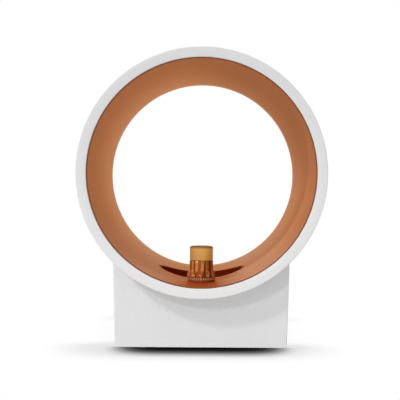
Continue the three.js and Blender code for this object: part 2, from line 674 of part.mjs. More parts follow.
function wallBracket() {
  const [sheet, half] = [BRACKET_SHEET, BRACKET_HALF_WIDTH];
  const plate = block(2 * half, BRACKET_LENGTH, BRACKET_FOOT, BRACKET_TOP);
  const tabs = [-1, 1].map((side) =>
    block(sheet, BRACKET_TAB_WIDTH, BRACKET_FOOT, BRACKET_FOOT + BRACKET_TAB_HEIGHT)
      .translate([side * (half - sheet / 2), 0, 0]),
  );
  const [low, high] = [BRACKET_FOOT - CUT_OVERRUN, BRACKET_TOP + CUT_OVERRUN];
  const through = (radius, x, y) => drum(radius, low, high, SCREW_SIDES).translate([x, y, 0]);
  const slotRounding = (FIXING_SLOT_WIDTH - FIXING_SLOT_END_FLAT) / 2;
  const slotOutline = roundedOutline(FIXING_SLOT_WIDTH, FIXING_SLOT_LENGTH, slotRounding);
  const slots = [-1, 1].map((side) =>
    solid(raised(slotOutline, low, high, CORNER_STEPS * 2))
      .translate([(side * FIXING_SPACING) / 2, 0, 0]),
  );
  const blockHoles = [-1, 1].map((side) =>
    through(BLOCK_SCREW.thread / 2 + GAP, (side * BLOCK_POLE_PITCH) / 2, BLOCK_Y - BRACKET_Y),
  );
  const tabHoles = drum(SIDE_SCREW.thread / 2 + GAP, -TUBE_RADIUS, TUBE_RADIUS, SCREW_SIDES)
    .rotate([0, 90, 0])
    .translate([0, 0, SIDE_SCREW_HEIGHT]);
  const joined = tabs.reduce((left, tab) => left.add(tab), plate);
  return cutFrom(joined, [
    ...slots,
    drum(GROMMET_DIAMETER / 2 - GROMMET_LIP + GAP, low, high),
    ...blockHoles,
    through(EARTH_SCREW.thread / 2 + GAP, EARTH_SCREW_REACH, EARTH_SCREW_Y - BRACKET_Y),
    tabHoles,
  ]);
}

// A rubber bush that grips the bracket's edge between two lips.
function cableGrommet() {
  const [bore, lip] = [GROMMET_BORE / 2, GROMMET_DIAMETER / 2];
  const neck = lip - GROMMET_LIP;
  return turned([
    [bore, BRACKET_FOOT],
    [neck, BRACKET_FOOT],
    [neck, BRACKET_TOP + GAP],
    [lip, BRACKET_TOP + GAP],
    [lip - GAP, BRACKET_TOP + GAP + GROMMET_WALL],
    [bore + GAP, BRACKET_TOP + GAP + GROMMET_WALL],
  ]);
}

function sideNut() {
  const [low, high] = [-CUT_OVERRUN, SIDE_NUT_HEIGHT + CUT_OVERRUN];
  const bore = drum(SIDE_SCREW.thread / 2 + GAP, low, high, SCREW_SIDES);
  return hexagon(SIDE_NUT_ACROSS_FLATS, 0, SIDE_NUT_HEIGHT).subtract(bore);
}

// Screws from both sides of the wall box into nuts behind the bracket's tabs.
function sideFixings() {
  const wallFace = BOX_WIDTH / 2 + BOX_SLOPE * SIDE_SCREW_HEIGHT;
  const headSeat = wallFace - SIDE_SCREW_SINK + GAP;
  const nutOuter = BRACKET_HALF_WIDTH - BRACKET_SHEET - GAP;
  const length = headSeat - (nutOuter - SIDE_NUT_HEIGHT) + SIDE_SCREW_TIP;
  return [
    [-1, "left"],
    [1, "right"],
  ].map(([side, word]) => {
    const screwMesh = piece(`side_screw_${word}`, screw(SIDE_SCREW, length), PLATED_STEEL);
    screwMesh.position.z = headSeat;
    const nutMesh = piece(`side_nut_${word}`, sideNut(), PLATED_STEEL);
    nutMesh.position.z = nutOuter - SIDE_NUT_HEIGHT;
    const turnedOut = new THREE.Group();
    turnedOut.add(screwMesh, nutMesh);
    turnedOut.rotation.y = (side * Math.PI) / 2;
    turnedOut.position.set(0, BRACKET_Y, SIDE_SCREW_HEIGHT);
    return turnedOut;
  });
}

const poleX = (index) => (index - (BLOCK_POLE_COUNT - 1) / 2) * BLOCK_POLE_PITCH;
const terminalScrewY = FERRULE_LENGTH * FERRULE_SCREW_SHARE;
const terminalWell = TERMINAL_SCREW.head / 2 + GAP;
const blockScrewSeat = BLOCK_TOP - BLOCK_SCREW.headHeight;

const alongY = (body, x, z) => body.rotate([90, 0, 0]).translate([x, 0, z]);

function terminalBlock() {
  const [low, high] = [BLOCK_FOOT - CUT_OVERRUN, BLOCK_TOP + CUT_OVERRUN];
  const poles = Array.from({ length: BLOCK_POLE_COUNT }, (_, index) => poleX(index));
  const reach = BLOCK_LENGTH / 2 + CUT_OVERRUN;
  const entry = drum(FERRULE_DIAMETER / 2 + GAP, -reach, reach, SCREW_SIDES);
  const well = drum(terminalWell, POLE_HEIGHT, high, SCREW_SIDES);
  const entries = poles.map((x) => alongY(entry, x, POLE_HEIGHT));
  const wells = poles.flatMap((x) =>
    [-1, 1].map((end) => well.translate([x, end * terminalScrewY, 0])),
  );
  const fixings = [-1, 1].map((side) =>
    drum(BLOCK_SCREW.thread / 2 + GAP, low, high, SCREW_SIDES)
      .add(drum(BLOCK_SCREW.head / 2 + GAP, blockScrewSeat - GAP, high, SCREW_SIDES))
      .translate([(side * BLOCK_POLE_PITCH) / 2, 0, 0]),
  );
  const body = block(BLOCK_WIDTH, BLOCK_LENGTH, BLOCK_FOOT, BLOCK_TOP);
  return cutFrom(body, [...entries, ...wells, ...fixings]);
}

// A brass tube through each pole, with a tapped hole for the clamping screw at each end.
function ferrule() {
  const half = FERRULE_LENGTH / 2;
  const tube = ring(FERRULE_BORE / 2, FERRULE_DIAMETER / 2, -half, half, SCREW_SIDES);
  const tapped = drum(TERMINAL_SCREW.thread / 2 + GAP, POLE_HEIGHT, BLOCK_TOP, SCREW_SIDES);
  const holes = [-1, 1].map((end) => tapped.translate([0, end * terminalScrewY, 0]));
  return cutFrom(alongY(tube, 0, POLE_HEIGHT), holes);
}

function terminalParts() {
  const leadTop = POLE_HEIGHT + LEAD_DIAMETER / 2 + GAP;
  const headTop = BLOCK_TOP - SCREW_PROTRUSION;
  const seat = headTop - TERMINAL_SCREW.headHeight;
  const parts = [piece("terminal_block", terminalBlock(), BLOCK_PLASTIC, 0, BLOCK_Y)];
  for (let index = 0; index < BLOCK_POLE_COUNT; index += 1) {
    parts.push(piece(`terminal_ferrule_${index + 1}`, ferrule(), BRASS, poleX(index), BLOCK_Y));
    for (const end of [-1, 1]) {
      const name = `terminal_screw_${2 * index + (end + 3) / 2}`;
      const body = screw(TERMINAL_SCREW, seat - leadTop);
      const y = BLOCK_Y + end * terminalScrewY;
      parts.push(piece(name, body, PLATED_STEEL, poleX(index), y, seat));
    }
  }
  for (const side of [-1, 1]) {
    const name = `block_screw_${(side + 3) / 2}`;
    const body = screw(BLOCK_SCREW, blockScrewSeat - BRACKET_FOOT);
    const x = (side * BLOCK_POLE_PITCH) / 2;
    parts.push(piece(name, body, PLATED_STEEL, x, BLOCK_Y, blockScrewSeat));
  }
  return parts;
}

const eyeletFoot = BRACKET_TOP + GAP;
const eyeletTop = eyeletFoot + RING_TERMINAL_THICKNESS;

// The bonding screw in the bracket with the eyelet of its lead under the head.
function earthBond() {
  const bore = EARTH_SCREW.thread / 2 + GAP;
  const ringBody = eyelet(
    bore,
    RING_TERMINAL_DIAMETER,
    RING_TERMINAL_TAIL,
    RING_TERMINAL_TAIL_WIDTH,
    eyeletFoot,
    eyeletTop,
  );
  const screwFoot = eyeletTop + GAP;
  const screwBody = screw(EARTH_SCREW, screwFoot - BRACKET_FOOT);
  return [
    piece("earth_ring_terminal", ringBody, BRASS, EARTH_SCREW_REACH, EARTH_SCREW_Y),
    piece("earth_screw", screwBody, BRASS, EARTH_SCREW_REACH, EARTH_SCREW_Y, screwFoot),
  ];
}

// A lead of round section along a smooth curve through the given points.
function lead(points, steps) {
  const outline = new THREE.Shape(
    Array.from({ length: LEAD_SIDES }, (_, index) => {
      const turn = (2 * Math.PI * index) / LEAD_SIDES;
      return new THREE.Vector2(Math.cos(turn), Math.sin(turn)).multiplyScalar(LEAD_DIAMETER / 2);
    }),
  );
  const extrudePath = new THREE.CatmullRomCurve3(points.map((place) => new THREE.Vector3(...place)));
  return solid(new THREE.ExtrudeGeometry(outline, { steps, extrudePath, bevelEnabled: false }));
}

const blockFront = BLOCK_Y - BLOCK_LENGTH / 2;
const blockBack = BLOCK_Y + BLOCK_LENGTH / 2;
const leadSeatFront = blockFront + FERRULE_INSET + LEAD_ENTRY;
const leadSeatBack = blockBack - FERRULE_INSET - LEAD_ENTRY;

// From the contact down through the nipple, then along the bracket to its pole.
function lampLead(side, poleIndex) {
  const x = (side * PIN_SPACING) / 2;
  const inNipple = (side * LEAD_SPREAD) / 2;
  const toPole = blockFront - HOLDER_Y;
  const drop = NIPPLE_FOOT - POLE_HEIGHT;
  const points = [
    [x, HOLDER_Y, CONTACT_FOOT - GAP],
    [x, HOLDER_Y, CHAMBER_TOP],
    [(x + inNipple) / 2, HOLDER_Y, (CHAMBER_TOP + CARRIER_TOP) / 2],
    [inNipple, HOLDER_Y, CARRIER_TOP],
    [inNipple, HOLDER_Y, (CARRIER_TOP + NIPPLE_FOOT) / 2],
    [inNipple, HOLDER_Y, NIPPLE_FOOT],
    [inNipple, HOLDER_Y + toPole * LEAD_BEND_SHARES[0], NIPPLE_FOOT - drop * LEAD_DROP_SHARES[0]],
    [
      inNipple + (poleX(poleIndex) - inNipple) * LEAD_BEND_SHARES[1],
      HOLDER_Y + toPole * LEAD_BEND_SHARES[1],
      NIPPLE_FOOT - drop * LEAD_DROP_SHARES[1],
    ],
    [poleX(poleIndex), HOLDER_Y + toPole * LEAD_BEND_SHARES[2], POLE_HEIGHT],
    [poleX(poleIndex), leadSeatFront, POLE_HEIGHT],
  ];
  return lead(points, LEAD_STEPS);
}

// From the tail of the earth tag down to the third pole.
function holderEarthLead(poleIndex) {
  const startX = TAG_DIAMETER / 2 + TAG_TAIL_LENGTH - LEAD_DIAMETER;
  const across = poleX(poleIndex) - startX;
  const toPole = blockFront - HOLDER_Y;
  const top = TAG_FOOT - GAP;
  const drop = top - POLE_HEIGHT;
  const bends = EARTH_SIDE_SHARES.map((share, step) => [
    startX + across * share,
    HOLDER_Y + toPole * EARTH_BEND_SHARES[step],
    top - drop * EARTH_DROP_SHARES[step],
  ]);
  const points = [
    [startX, HOLDER_Y, top],
    ...bends,
    [startX + across, HOLDER_Y + toPole * EARTH_BEND_SHARES[2], POLE_HEIGHT],
    [startX + across, leadSeatFront, POLE_HEIGHT],
  ];
  return lead(points, LEAD_STEPS);
}

// From the back of the third pole round to the eyelet under the bonding screw.
function bracketEarthLead(poleIndex) {
  const startX = poleX(poleIndex);
  const across = EARTH_SCREW_REACH - startX;
  const eyeletEnd = EARTH_SCREW_Y + RING_TERMINAL_DIAMETER / 2 + RING_TERMINAL_TAIL - TAIL_OVERLAP;
  const restHeight = eyeletTop + GAP + LEAD_DIAMETER / 2;
  const far = eyeletEnd + across * BOND_LOOP_SHARE;
  const points = [
    [startX, leadSeatBack, POLE_HEIGHT],
    [startX, blockBack + LEAD_ENTRY, POLE_HEIGHT],
    [startX + across * BOND_SIDE_SHARES[0], far - LEAD_ENTRY, (POLE_HEIGHT + restHeight) / 2],
    [startX + across * BOND_SIDE_SHARES[1], far, restHeight],
    [EARTH_SCREW_REACH, eyeletEnd, restHeight],
    [EARTH_SCREW_REACH, eyeletEnd - RING_TERMINAL_TAIL / 2, restHeight],
  ];
  return lead(points, BOND_STEPS);
}

const wallLight = new THREE.Group();
wallLight.add(
  piece("tube_shell", tubeShell(), WHITE_COAT),
  piece("wall_box", wallBox(), WHITE_COAT),
  piece("copper_lining", copperLining(), COPPER_COAT),
  ...saddleScrews(),
  piece("packing", packing(), PACKING_FIBRE),
  piece("base_ring", baseRing(), DARK_BRONZE, 0, HOLDER_Y),
  piece("fluted_collar", flutedCollar(), POLISHED_COPPER, 0, HOLDER_Y),
  piece("lamp_sleeve", lampSleeve(), SATIN_BRASS, 0, HOLDER_Y),
  piece("ceramic_core", ceramicCore(), CERAMIC, 0, HOLDER_Y),
  piece("contact_left", contact(-1), BRASS, 0, HOLDER_Y),
  piece("contact_right", contact(1), BRASS, 0, HOLDER_Y),
  piece("carrier_plate", carrierPlate(), PLATED_STEEL, 0, HOLDER_Y),
  piece("nipple", nipple(), BRASS, 0, HOLDER_Y),
  piece("earth_tag", earthTag(), BRASS, 0, HOLDER_Y),
  piece("lock_washer", lockWasher(), PLATED_STEEL, 0, HOLDER_Y),
  piece("nipple_nut", nippleNut(), BRASS, 0, HOLDER_Y),
  piece("wall_bracket", wallBracket(), PLATED_STEEL, 0, BRACKET_Y),
  piece("cable_grommet", cableGrommet(), GROMMET_RUBBER, 0, BRACKET_Y),
  ...sideFixings(),
  ...terminalParts(),
  ...earthBond(),
  piece("lead_live", lampLead(-1, 0), LIVE_SLEEVE),
  piece("lead_neutral", lampLead(1, 1), NEUTRAL_SLEEVE),
  piece("lead_earth_holder", holderEarthLead(2), EARTH_SLEEVE),
  piece("lead_earth_bracket", bracketEarthLead(2), EARTH_SLEEVE),
);

export default wallLight;
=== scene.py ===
"""Looks of a cylindrical wall light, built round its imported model.

Metres, in the model's own frame: +Z away from the wall, the tube along Y, and the wall box
standing on z = 0. The near end, which the camera faces, is at -Y and the far end at +Y.
"""

import json
import math

import bmesh
import bpy
from mathutils import Matrix, Vector


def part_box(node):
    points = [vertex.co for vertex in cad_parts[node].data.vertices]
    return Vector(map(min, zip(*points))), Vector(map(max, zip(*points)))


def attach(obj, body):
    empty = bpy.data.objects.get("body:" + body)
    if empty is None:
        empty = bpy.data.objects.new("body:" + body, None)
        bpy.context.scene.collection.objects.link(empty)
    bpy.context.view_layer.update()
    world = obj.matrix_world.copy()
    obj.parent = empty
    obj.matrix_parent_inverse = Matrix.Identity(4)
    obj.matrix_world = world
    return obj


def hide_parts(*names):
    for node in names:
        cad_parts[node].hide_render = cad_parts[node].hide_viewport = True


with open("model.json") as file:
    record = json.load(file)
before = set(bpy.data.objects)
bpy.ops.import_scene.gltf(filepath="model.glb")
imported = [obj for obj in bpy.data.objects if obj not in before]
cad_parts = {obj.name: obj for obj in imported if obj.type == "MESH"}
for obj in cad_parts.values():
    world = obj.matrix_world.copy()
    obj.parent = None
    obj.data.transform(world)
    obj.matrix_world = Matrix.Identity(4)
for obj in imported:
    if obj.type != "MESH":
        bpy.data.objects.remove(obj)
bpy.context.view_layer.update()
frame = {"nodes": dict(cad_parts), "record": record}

MM = 0.001

# Tube and lining
tube_low, tube_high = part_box("tube_shell")
lining_low, lining_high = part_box("copper_lining")
TUBE_RADIUS = (tube_high.x - tube_low.x) / 2
TUBE_HALF = tube_high.y
AXIS_HEIGHT = (tube_low.z + tube_high.z) / 2
TUBE_WALL = 8.3 * MM
RIM_ROUNDING = 0.7 * MM
LINING_OUTER_RADIUS = lining_high.x
LINING_THICKNESS = 0.8 * MM
LINING_RADIUS = LINING_OUTER_RADIUS - LINING_THICKNESS
LINING_HALF = lining_high.y
LINING_EDGE_ROUNDING = 0.25 * MM
GAP = 0.3 * MM

# Round opening in the wall side of the tube
OPENING_RADIUS = 38.7 * MM
OPENING_CLEAR_RADIUS = OPENING_RADIUS + LINING_THICKNESS + GAP
OPENING_Y = 0.0
OPENING_COLLAR_FOOT = lining_low.z

# Wall box
BOX_FOOT_HALF_WIDTH = 69.7 * MM
BOX_FOOT_HALF_LENGTH = 105 * MM
BOX_WALL = 6 * MM
BOX_SLOPE = math.tan(math.radians(1.48))
BOX_CORNER_ROUNDING = 1 * MM
BOX_FOOT_ROUNDING = 0.35 * MM
SADDLE_WALL = 5 * MM
SADDLE_TOP_RADIUS = TUBE_RADIUS + GAP
SADDLE_RADIUS = SADDLE_TOP_RADIUS + SADDLE_WALL
BOSS_RADIUS = 12 * MM
BOSS_DROP = 1 * MM
BOSS_FOOT = AXIS_HEIGHT - SADDLE_RADIUS - BOSS_DROP

# Base ring of the lampholder cover
ring_low, ring_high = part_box("base_ring")
BASE_RING_RADIUS = (ring_high.x - ring_low.x) / 2
BASE_RING_FLOOR = 1.6 * MM
BASE_RING_ROWS = (0.25, 0.5, 0.75)
BEAD_COUNT = 36
BEAD_DEPTH = 0.4 * MM
BEAD_ARC = (0, 0.4, 0.8, 1.2, math.pi / 2)

# Fluted collar of the cover
collar_low, collar_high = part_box("fluted_collar")
FLUTE_COUNT = 12
FLUTE_TURN = math.radians(6)
FLUTE_DEPTH = 0.75 * MM
FLUTE_CREST_SHARE = 0.8
FLUTE_RUN_OUT = 1.6 * MM
FLUTE_RUN_OUT_HEIGHT = 2 * MM
COLLAR_CREST_RADIUS = 9.8 * MM
COLLAR_BORE = 8.55 * MM
COLLAR_FLARE = 2.4 * MM
COLLAR_FLARE_HEIGHT = 5.3 * MM
COLLAR_FLARE_SHARES = (0.94, 0.985, 1, 0.99, 0.97, 0.94, 0.9, 0.85, 0.78, 0.68, 0.5, 0.2, 0)
COLLAR_RIDGE_POWER = 5
COLLAR_LIP = 0.5 * MM
COLLAR_TOP_INSET = 0.12 * MM
COLLAR_TOP_DROP = 0.2 * MM
COLLAR_ROWS = (0.33, 0.66, 1)

# Lamp sleeve of the cover, and the nipple's hole under it
sleeve_low, sleeve_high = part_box("lamp_sleeve")
HOLDER_Y = (sleeve_low.y + sleeve_high.y) / 2
SLEEVE_RADIUS = (sleeve_high.x - sleeve_low.x) / 2
SLEEVE_SHANK_RADIUS = 8.25 * MM
SLEEVE_BORE = 7.65 * MM
SLEEVE_MOUTH_RADIUS = 7 * MM
SLEEVE_ROUNDING = 1.4 * MM
SLEEVE_EDGE_ROUNDING = 0.2 * MM
SLEEVE_LIP = 1.1 * MM
SLEEVE_SHOULDER = collar_high.z + GAP
NIPPLE_HOLE_RADIUS = 5.3 * MM

# Screws through the box sides and up through the saddle
SCREW_THREAD_RADIUS = 2 * MM
SIDE_SCREW_Y = 0.0
SIDE_SCREW_HEIGHT = 14 * MM
SIDE_SCREW_SINK = 3.1 * MM
SIDE_HEAD_RADIUS = 3.8 * MM
SADDLE_SCREW_LEAN = math.radians(14)
SADDLE_SCREW_Y = 92 * MM
SADDLE_SCREW_GRIP = 5.8 * MM

# Steps round a circle, rows along a tube and segments across a rounding
TUBE_STEPS = 256
TUBE_ROWS = 24
OPENING_STEPS = 192
SMALL_STEPS = 96
HOLE_STEPS = 48
FLUTE_STEPS = 20
BEAD_STEPS = 8
LIP_SEGMENTS = 8
RIM_SEGMENTS = 5
EDGE_SEGMENTS = 3
DEBURRING_SEGMENTS = 2

# Working limits
OVERRUN = 2 * MM
MERGE_DISTANCE = 0.001 * MM
CIRCLE_TOLERANCE = 0.05 * MM
SMOOTH_ANGLE = math.radians(32)
FLAT_ANGLE = math.radians(0.5)
DEBURRING = 0.15 * MM

# Camera
IMAGE_WIDTH = 400
FOCAL_PIXELS = 1138.7
SENSOR_WIDTH = 36
CAMERA_PLACE = (3 * MM, -1025 * MM, 131.8 * MM)
CAMERA_PITCH = math.radians(0.775)
CAMERA_YAW = math.radians(0.272)
CAMERA_ROLL = math.radians(-0.35)
CAMERA_NEAREST = 10 * MM
CAMERA_FARTHEST = 100

# Light
HIGH_SUN = {"travel": (1.175, 1, -1.27), "strength": 0.958}
LOW_SUN = {"travel": (0.55, 1, -0.535), "strength": 0.43}
SUN_ANGLE = math.radians(6)
AMBIENT = 0.675
ROOM_BEHIND_CAMERA = {"low": 0.6, "high": 0.25, "start": -0.5, "end": 0.5}
ROOM_AHEAD = {"start": -0.5, "end": 0.1}

# Floor, and its painted shade in steps of how far out and how bright
FLOOR_SIZE = 40
FLOOR_DROP = 0.2 * MM
FLOOR_COLOUR = (0.8, 0.8, 0.8, 1)
CONTACT_REACH = 35 * MM
CONTACT_START = 0.5
CONTACT_DEPTH = (0.03, 0.3)
CONTACT_FADE = (60 * MM, 110 * MM)
UNDER_BOX_SHADE = 0.03
FRONT_SHADOW = {
    "middle": -0.2 * MM,
    "half_width": 67.2 * MM,
    "squareness": 2.8,
    "reach": 37 * MM,
    "fade_behind": 8.7,
    "steps": (
        (0.0, 0.003),
        (0.25, 0.006),
        (0.5, 0.034),
        (0.75, 0.17),
        (1, 0.485),
        (1.25, 0.82),
        (1.5, 0.976),
        (2, 1),
    ),
}
FRONT_HALO = {
    "middle": -5.7 * MM,
    "half_width": 123.2 * MM,
    "squareness": 2,
    "reach": 81 * MM,
    "fade_behind": 1.82,
    "steps": ((0.35, 0.8), (0.5, 0.826), (0.65, 0.888), (0.8, 0.955), (1, 1)),
}

# The curve of screen colours, straight up to its knee
SCREEN_WHITE = 255
SCREEN_KNEE = 0.04045
SCREEN_STRAIGHT = 12.92
SCREEN_OFFSET = 0.055
SCREEN_POWER = 2.4

# Sockets of a mix node
MIX_SHARE = 0
MIX_NUMBERS = (2, 3)
MIX_COLOURS = (6, 7)
MIX_COLOUR_RESULT = 2

# The values between which a grain mostly lies, and how lines and streaks are drawn out
GRAIN_SPAN = (0.3, 0.7)
LATHE_STRETCH = (0.02, 0.02, 1)
STREAK_STRETCH = (1, 1, 0.12)

# Finishes: a colour is dark and light, a roughness low and high, a relief depth and strength
WHITE = {
    "cloud": {"size": 60 * MM, "detail": 3},
    "speck": {"size": 0.9 * MM, "detail": 5},
    "peel": {"size": 2.6 * MM, "detail": 2},
    "broad": ((230, 230, 231), (233, 233, 234)),
    "fleck": ((225, 225, 226), (234, 234, 235)),
    "fleck_span": (0.35, 0.6),
    "fleck_share": (0.3, 0.7),
    # painted light on the near rim and painted shade on the upper side
    "painted_light_on_rim": ((233, 232, 232), (239, 238, 237)),
    "painted_shade_above": ((216, 216, 217), (224, 224, 225)),
    "roughness": (0.62, 0.78),
    "relief": (0.05 * MM, 0.5),
    "peel_relief": (0.06 * MM, 0.4),
}
COPPER = {
    "cloud": {"size": 25 * MM, "detail": 2},
    "speck": {"size": 1.1 * MM, "detail": 6},
    "glint": (255, 210, 150),
    "broad": ((216, 144, 101), (222, 150, 107)),
    "fleck": ((202, 128, 86), (230, 164, 120)),
    "fleck_span": (0.36, 0.64),
    "fleck_share": (0.35, 0.65),
    # from here on: painted light, painted shade and a painted reflection, by place on the lining
    "near_end_shade": ((170, 101, 65), (188, 115, 75)),
    "far_end_light": ((224, 160, 118), (234, 172, 128)),
    "upper_right_shade": ((176, 106, 68), (192, 120, 78)),
    "low_side_light": ((224, 182, 160), (232, 192, 170)),
    "holder_reflection": ((184, 84, 24), (204, 100, 36)),
    "far_end_highlight": ((236, 186, 156), (244, 198, 170)),
    "cut_edge_shade": ((140, 80, 55), (165, 100, 70)),
    "collar_shade": ((150, 52, 14), (172, 62, 18)),
    "roughness": (0.29, 0.36),
    "relief": (0.05 * MM, 0.6),
}
BRONZE = {
    "stain": {"size": 2 * MM, "detail": 5},
    "dull": ((150, 92, 54), (186, 128, 84)),
    # painted highlight on the beads
    "bead_highlight": ((222, 184, 160), (240, 206, 186)),
    "roughness": (0.28, 0.45),
    "relief": (0.03 * MM, 0.4),
}
POLISHED = {
    "stain": {"size": 2.2 * MM, "detail": 5},
    "streak": {"size": 1.2 * MM, "detail": 3, "stretch": STREAK_STRETCH},
    "ridge": ((224, 148, 80), (242, 172, 100)),
    "tarnish": ((150, 84, 26), (186, 112, 44)),
    # painted shade on the right side, the flared foot and its hem
    "right_side_shade": ((104, 44, 14), (132, 62, 22)),
    "foot": ((148, 84, 36), (180, 110, 54)),
    "hem_shade": ((116, 60, 28), (144, 82, 44)),
    "foot_metallic": (0.7, 0.05),
    "roughness": (0.3, 0.42),
    "relief": (0.02 * MM, 0.15),
}
SATIN = {
    "lines": {"size": 0.3 * MM, "detail": 2, "stretch": LATHE_STRETCH},
    "cloud": {"size": 5 * MM, "detail": 4},
    "speck": {"size": 0.6 * MM, "detail": 4},
    "broad": ((222, 172, 96), (228, 180, 104)),
    "fleck": ((212, 162, 88), (234, 190, 116)),
    "fleck_span": GRAIN_SPAN,
    "fleck_share": (0.2, 0.5),
    # painted light on the right side and painted shade at the lip
    "right_side_light": ((255, 196, 92), (255, 208, 106)),
    "lip": ((158, 116, 66), (172, 128, 76)),
    "roughness": (0.6, 0.75),
    "relief": (0.02 * MM, 0.4),
}
TURNED = {
    "lines": {"size": 0.35 * MM, "detail": 2, "stretch": LATHE_STRETCH},
    "stain": {"size": 3 * MM, "detail": 5},
    "relief": (0.02 * MM, 0.35),
}
MOULDED = {
    "speck": {"size": 0.8 * MM, "detail": 4},
    "relief": (0.03 * MM, 0.5),
}
TURNED_METALS = {
    "brass": {"shades": ((196, 160, 88), (216, 182, 108)), "roughness": (0.22, 0.36)},
    "plated_steel": {"shades": ((176, 178, 182), (204, 206, 208)), "roughness": (0.25, 0.42)},
}
MOULDINGS = {
    "ceramic": {"shades": ((232, 226, 210), (240, 236, 224)), "roughness": (0.4, 0.6)},
    "block_plastic": {"shades": ((228, 226, 218), (236, 234, 228)), "roughness": (0.4, 0.55)},
    "grommet_rubber": {"shades": ((24, 24, 25), (38, 38, 39)), "roughness": (0.7, 0.9)},
    "packing_fibre": {"shades": ((146, 64, 26), (166, 76, 32)), "roughness": (0.7, 0.9)},
    "live_sleeve": {"shades": ((92, 56, 32), (104, 66, 40)), "roughness": (0.45, 0.6)},
    "neutral_sleeve": {"shades": ((40, 90, 152), (52, 104, 168)), "roughness": (0.45, 0.6)},
    "earth_sleeve": {"shades": ((110, 150, 44), (134, 172, 60)), "roughness": (0.45, 0.6)},
}

# Where painted light and shade change the white coat: paler on the near rim, greyer above
RIM_LIGHT_SPAN = {"low": 1, "high": 0, "start": 1 * MM - TUBE_HALF, "end": 3 * MM - TUBE_HALF}
UPPER_SHADE_SPAN = {"start": AXIS_HEIGHT - TUBE_RADIUS, "end": AXIS_HEIGHT + TUBE_RADIUS * 0.7}

# Where painted light and shade change the copper along the tube
# painted shade, darker towards the near end
NEAR_END_SHADE_SPAN = {"low": 0.7, "high": 0, "start": -LINING_HALF, "end": 0}
# painted light, paler towards the far end
FAR_END_LIGHT_SPAN = {"low": 0, "high": 1, "start": -LINING_HALF / 4, "end": LINING_HALF / 2}
# painted highlight, a pale glow at the far rim
FAR_END_HIGHLIGHT_SPAN = {"low": 0, "high": 0.5, "start": LINING_HALF - 26 * MM, "end": LINING_HALF}
# painted shade along the cut edges
CUT_EDGE_SHADE_START = LINING_HALF - LINING_EDGE_ROUNDING
CUT_EDGE_SHADE_END = LINING_HALF - LINING_EDGE_ROUNDING / 2

# Where painted light and shade change the copper round the tube, in radii of the lining
# painted shade on the upper right
UPPER_SHADE_START = 0.7
UPPER_SHADE_SPREAD = 0.7
UPPER_SHADE_SHARE = 0.6
LOW_SPREAD = 0.6

# Where painted light and a painted reflection change the copper beside the lampholder, in radii of
# the base ring
# painted light, paler low down beside the lampholder
LOW_SIDE_LIGHT_SIDES = (1, 4)
LOW_SIDE_LIGHT_SHARE = 0.5
# painted reflection of the lampholder in the lining's floor in front of it
HOLDER_REFLECTION_SIDES = (0.6, 2)
HOLDER_REFLECTION_SHARE = 0.8
HOLDER_REFLECTION_ROUGHNESS = 0.12

# Where painted shade darkens the copper collar of the round opening, apart from the rest of the
# lining
COLLAR_SHADE_INSIDE = {"start": OPENING_RADIUS + 0.1 * MM, "end": OPENING_RADIUS + 0.3 * MM}
COLLAR_SHADE_BELOW = {"start": 69.7 * MM, "end": 75.7 * MM}
COLLAR_SHADE_ASIDE = {"start": OPENING_RADIUS - 3.5 * MM, "end": OPENING_RADIUS - 1 * MM}

# Where the finishes of the lampholder cover change, and where their painted highlight and painted
# shade lie
BEAD_HIGHLIGHT_BELT = {"start": 0.4 * MM, "end": 1.4 * MM}
BEAD_HIGHLIGHT_WAVE = 0.9
FLUTE_WAVE = {"start": -0.9, "end": 0.35}
RIGHT_SIDE_SHADE_SPAN = {"low": 0, "high": 0.65, "start": 0, "end": COLLAR_CREST_RADIUS / 2}
FOOT_START = COLLAR_CREST_RADIUS + 0.1 * MM
FOOT_END = COLLAR_CREST_RADIUS + 1 * MM
FOOT_SHADE_SHARE = 0.85
FOOT_ROUGHNESS = 0.3
HEM_SHADE_START = COLLAR_CREST_RADIUS + 1.3 * MM
HEM_SHADE_END = COLLAR_CREST_RADIUS + 2.2 * MM
LIP_SHADE_BAND = {"start": sleeve_high.z - 2.4 * MM, "end": sleeve_high.z - 0.8 * MM}


def camera():
    data = bpy.data.cameras.new("camera")
    data.sensor_width = SENSOR_WIDTH
    data.lens = FOCAL_PIXELS / IMAGE_WIDTH * SENSOR_WIDTH
    data.clip_start = CAMERA_NEAREST
    data.clip_end = CAMERA_FARTHEST
    camera_object = bpy.data.objects.new("camera", data)
    camera_object.location = CAMERA_PLACE
    camera_object.rotation_euler = (math.pi / 2 - CAMERA_PITCH, CAMERA_ROLL, CAMERA_YAW)
    bpy.context.collection.objects.link(camera_object)
    bpy.context.scene.camera = camera_object


def sun(name, travel, strength):
    """A soft sun whose light travels in the given direction."""
    data = bpy.data.lights.new(name, "SUN")
    data.energy = strength
    data.angle = SUN_ANGLE
    lamp = bpy.data.objects.new(name, data)
    lamp.rotation_euler = Vector(travel).to_track_quat("-Z", "Y").to_euler()
    bpy.context.collection.objects.link(lamp)


def studio_world():
    """Even soft light, with plain white behind the object and a dimmer room in its reflections."""
    world = bpy.data.worlds.new("studio")
    bpy.context.scene.world = world
    world.use_nodes = True
    tree = world.node_tree
    path = tree.nodes.new("ShaderNodeLightPath")
    seen = either(tree, path.outputs["Is Camera Ray"], path.outputs["Is Transmission Ray"])
    direction = tree.nodes.new("ShaderNodeTexCoord").outputs["Generated"]
    behind = spread(tree, axis_of(tree, direction, "X"), **ROOM_BEHIND_CAMERA, soft=True)
    ahead = spread(tree, axis_of(tree, direction, "Y"), **ROOM_AHEAD, soft=True)
    mirrored = blended(tree, ahead, behind, 1)
    ambient = blended(tree, path.outputs["Is Glossy Ray"], AMBIENT, mirrored)
    background = tree.nodes["Background"]
    background.inputs["Color"].default_value = (1, 1, 1, 1)
    tree.links.new(blended(tree, seen, ambient, 1), background.inputs["Strength"])


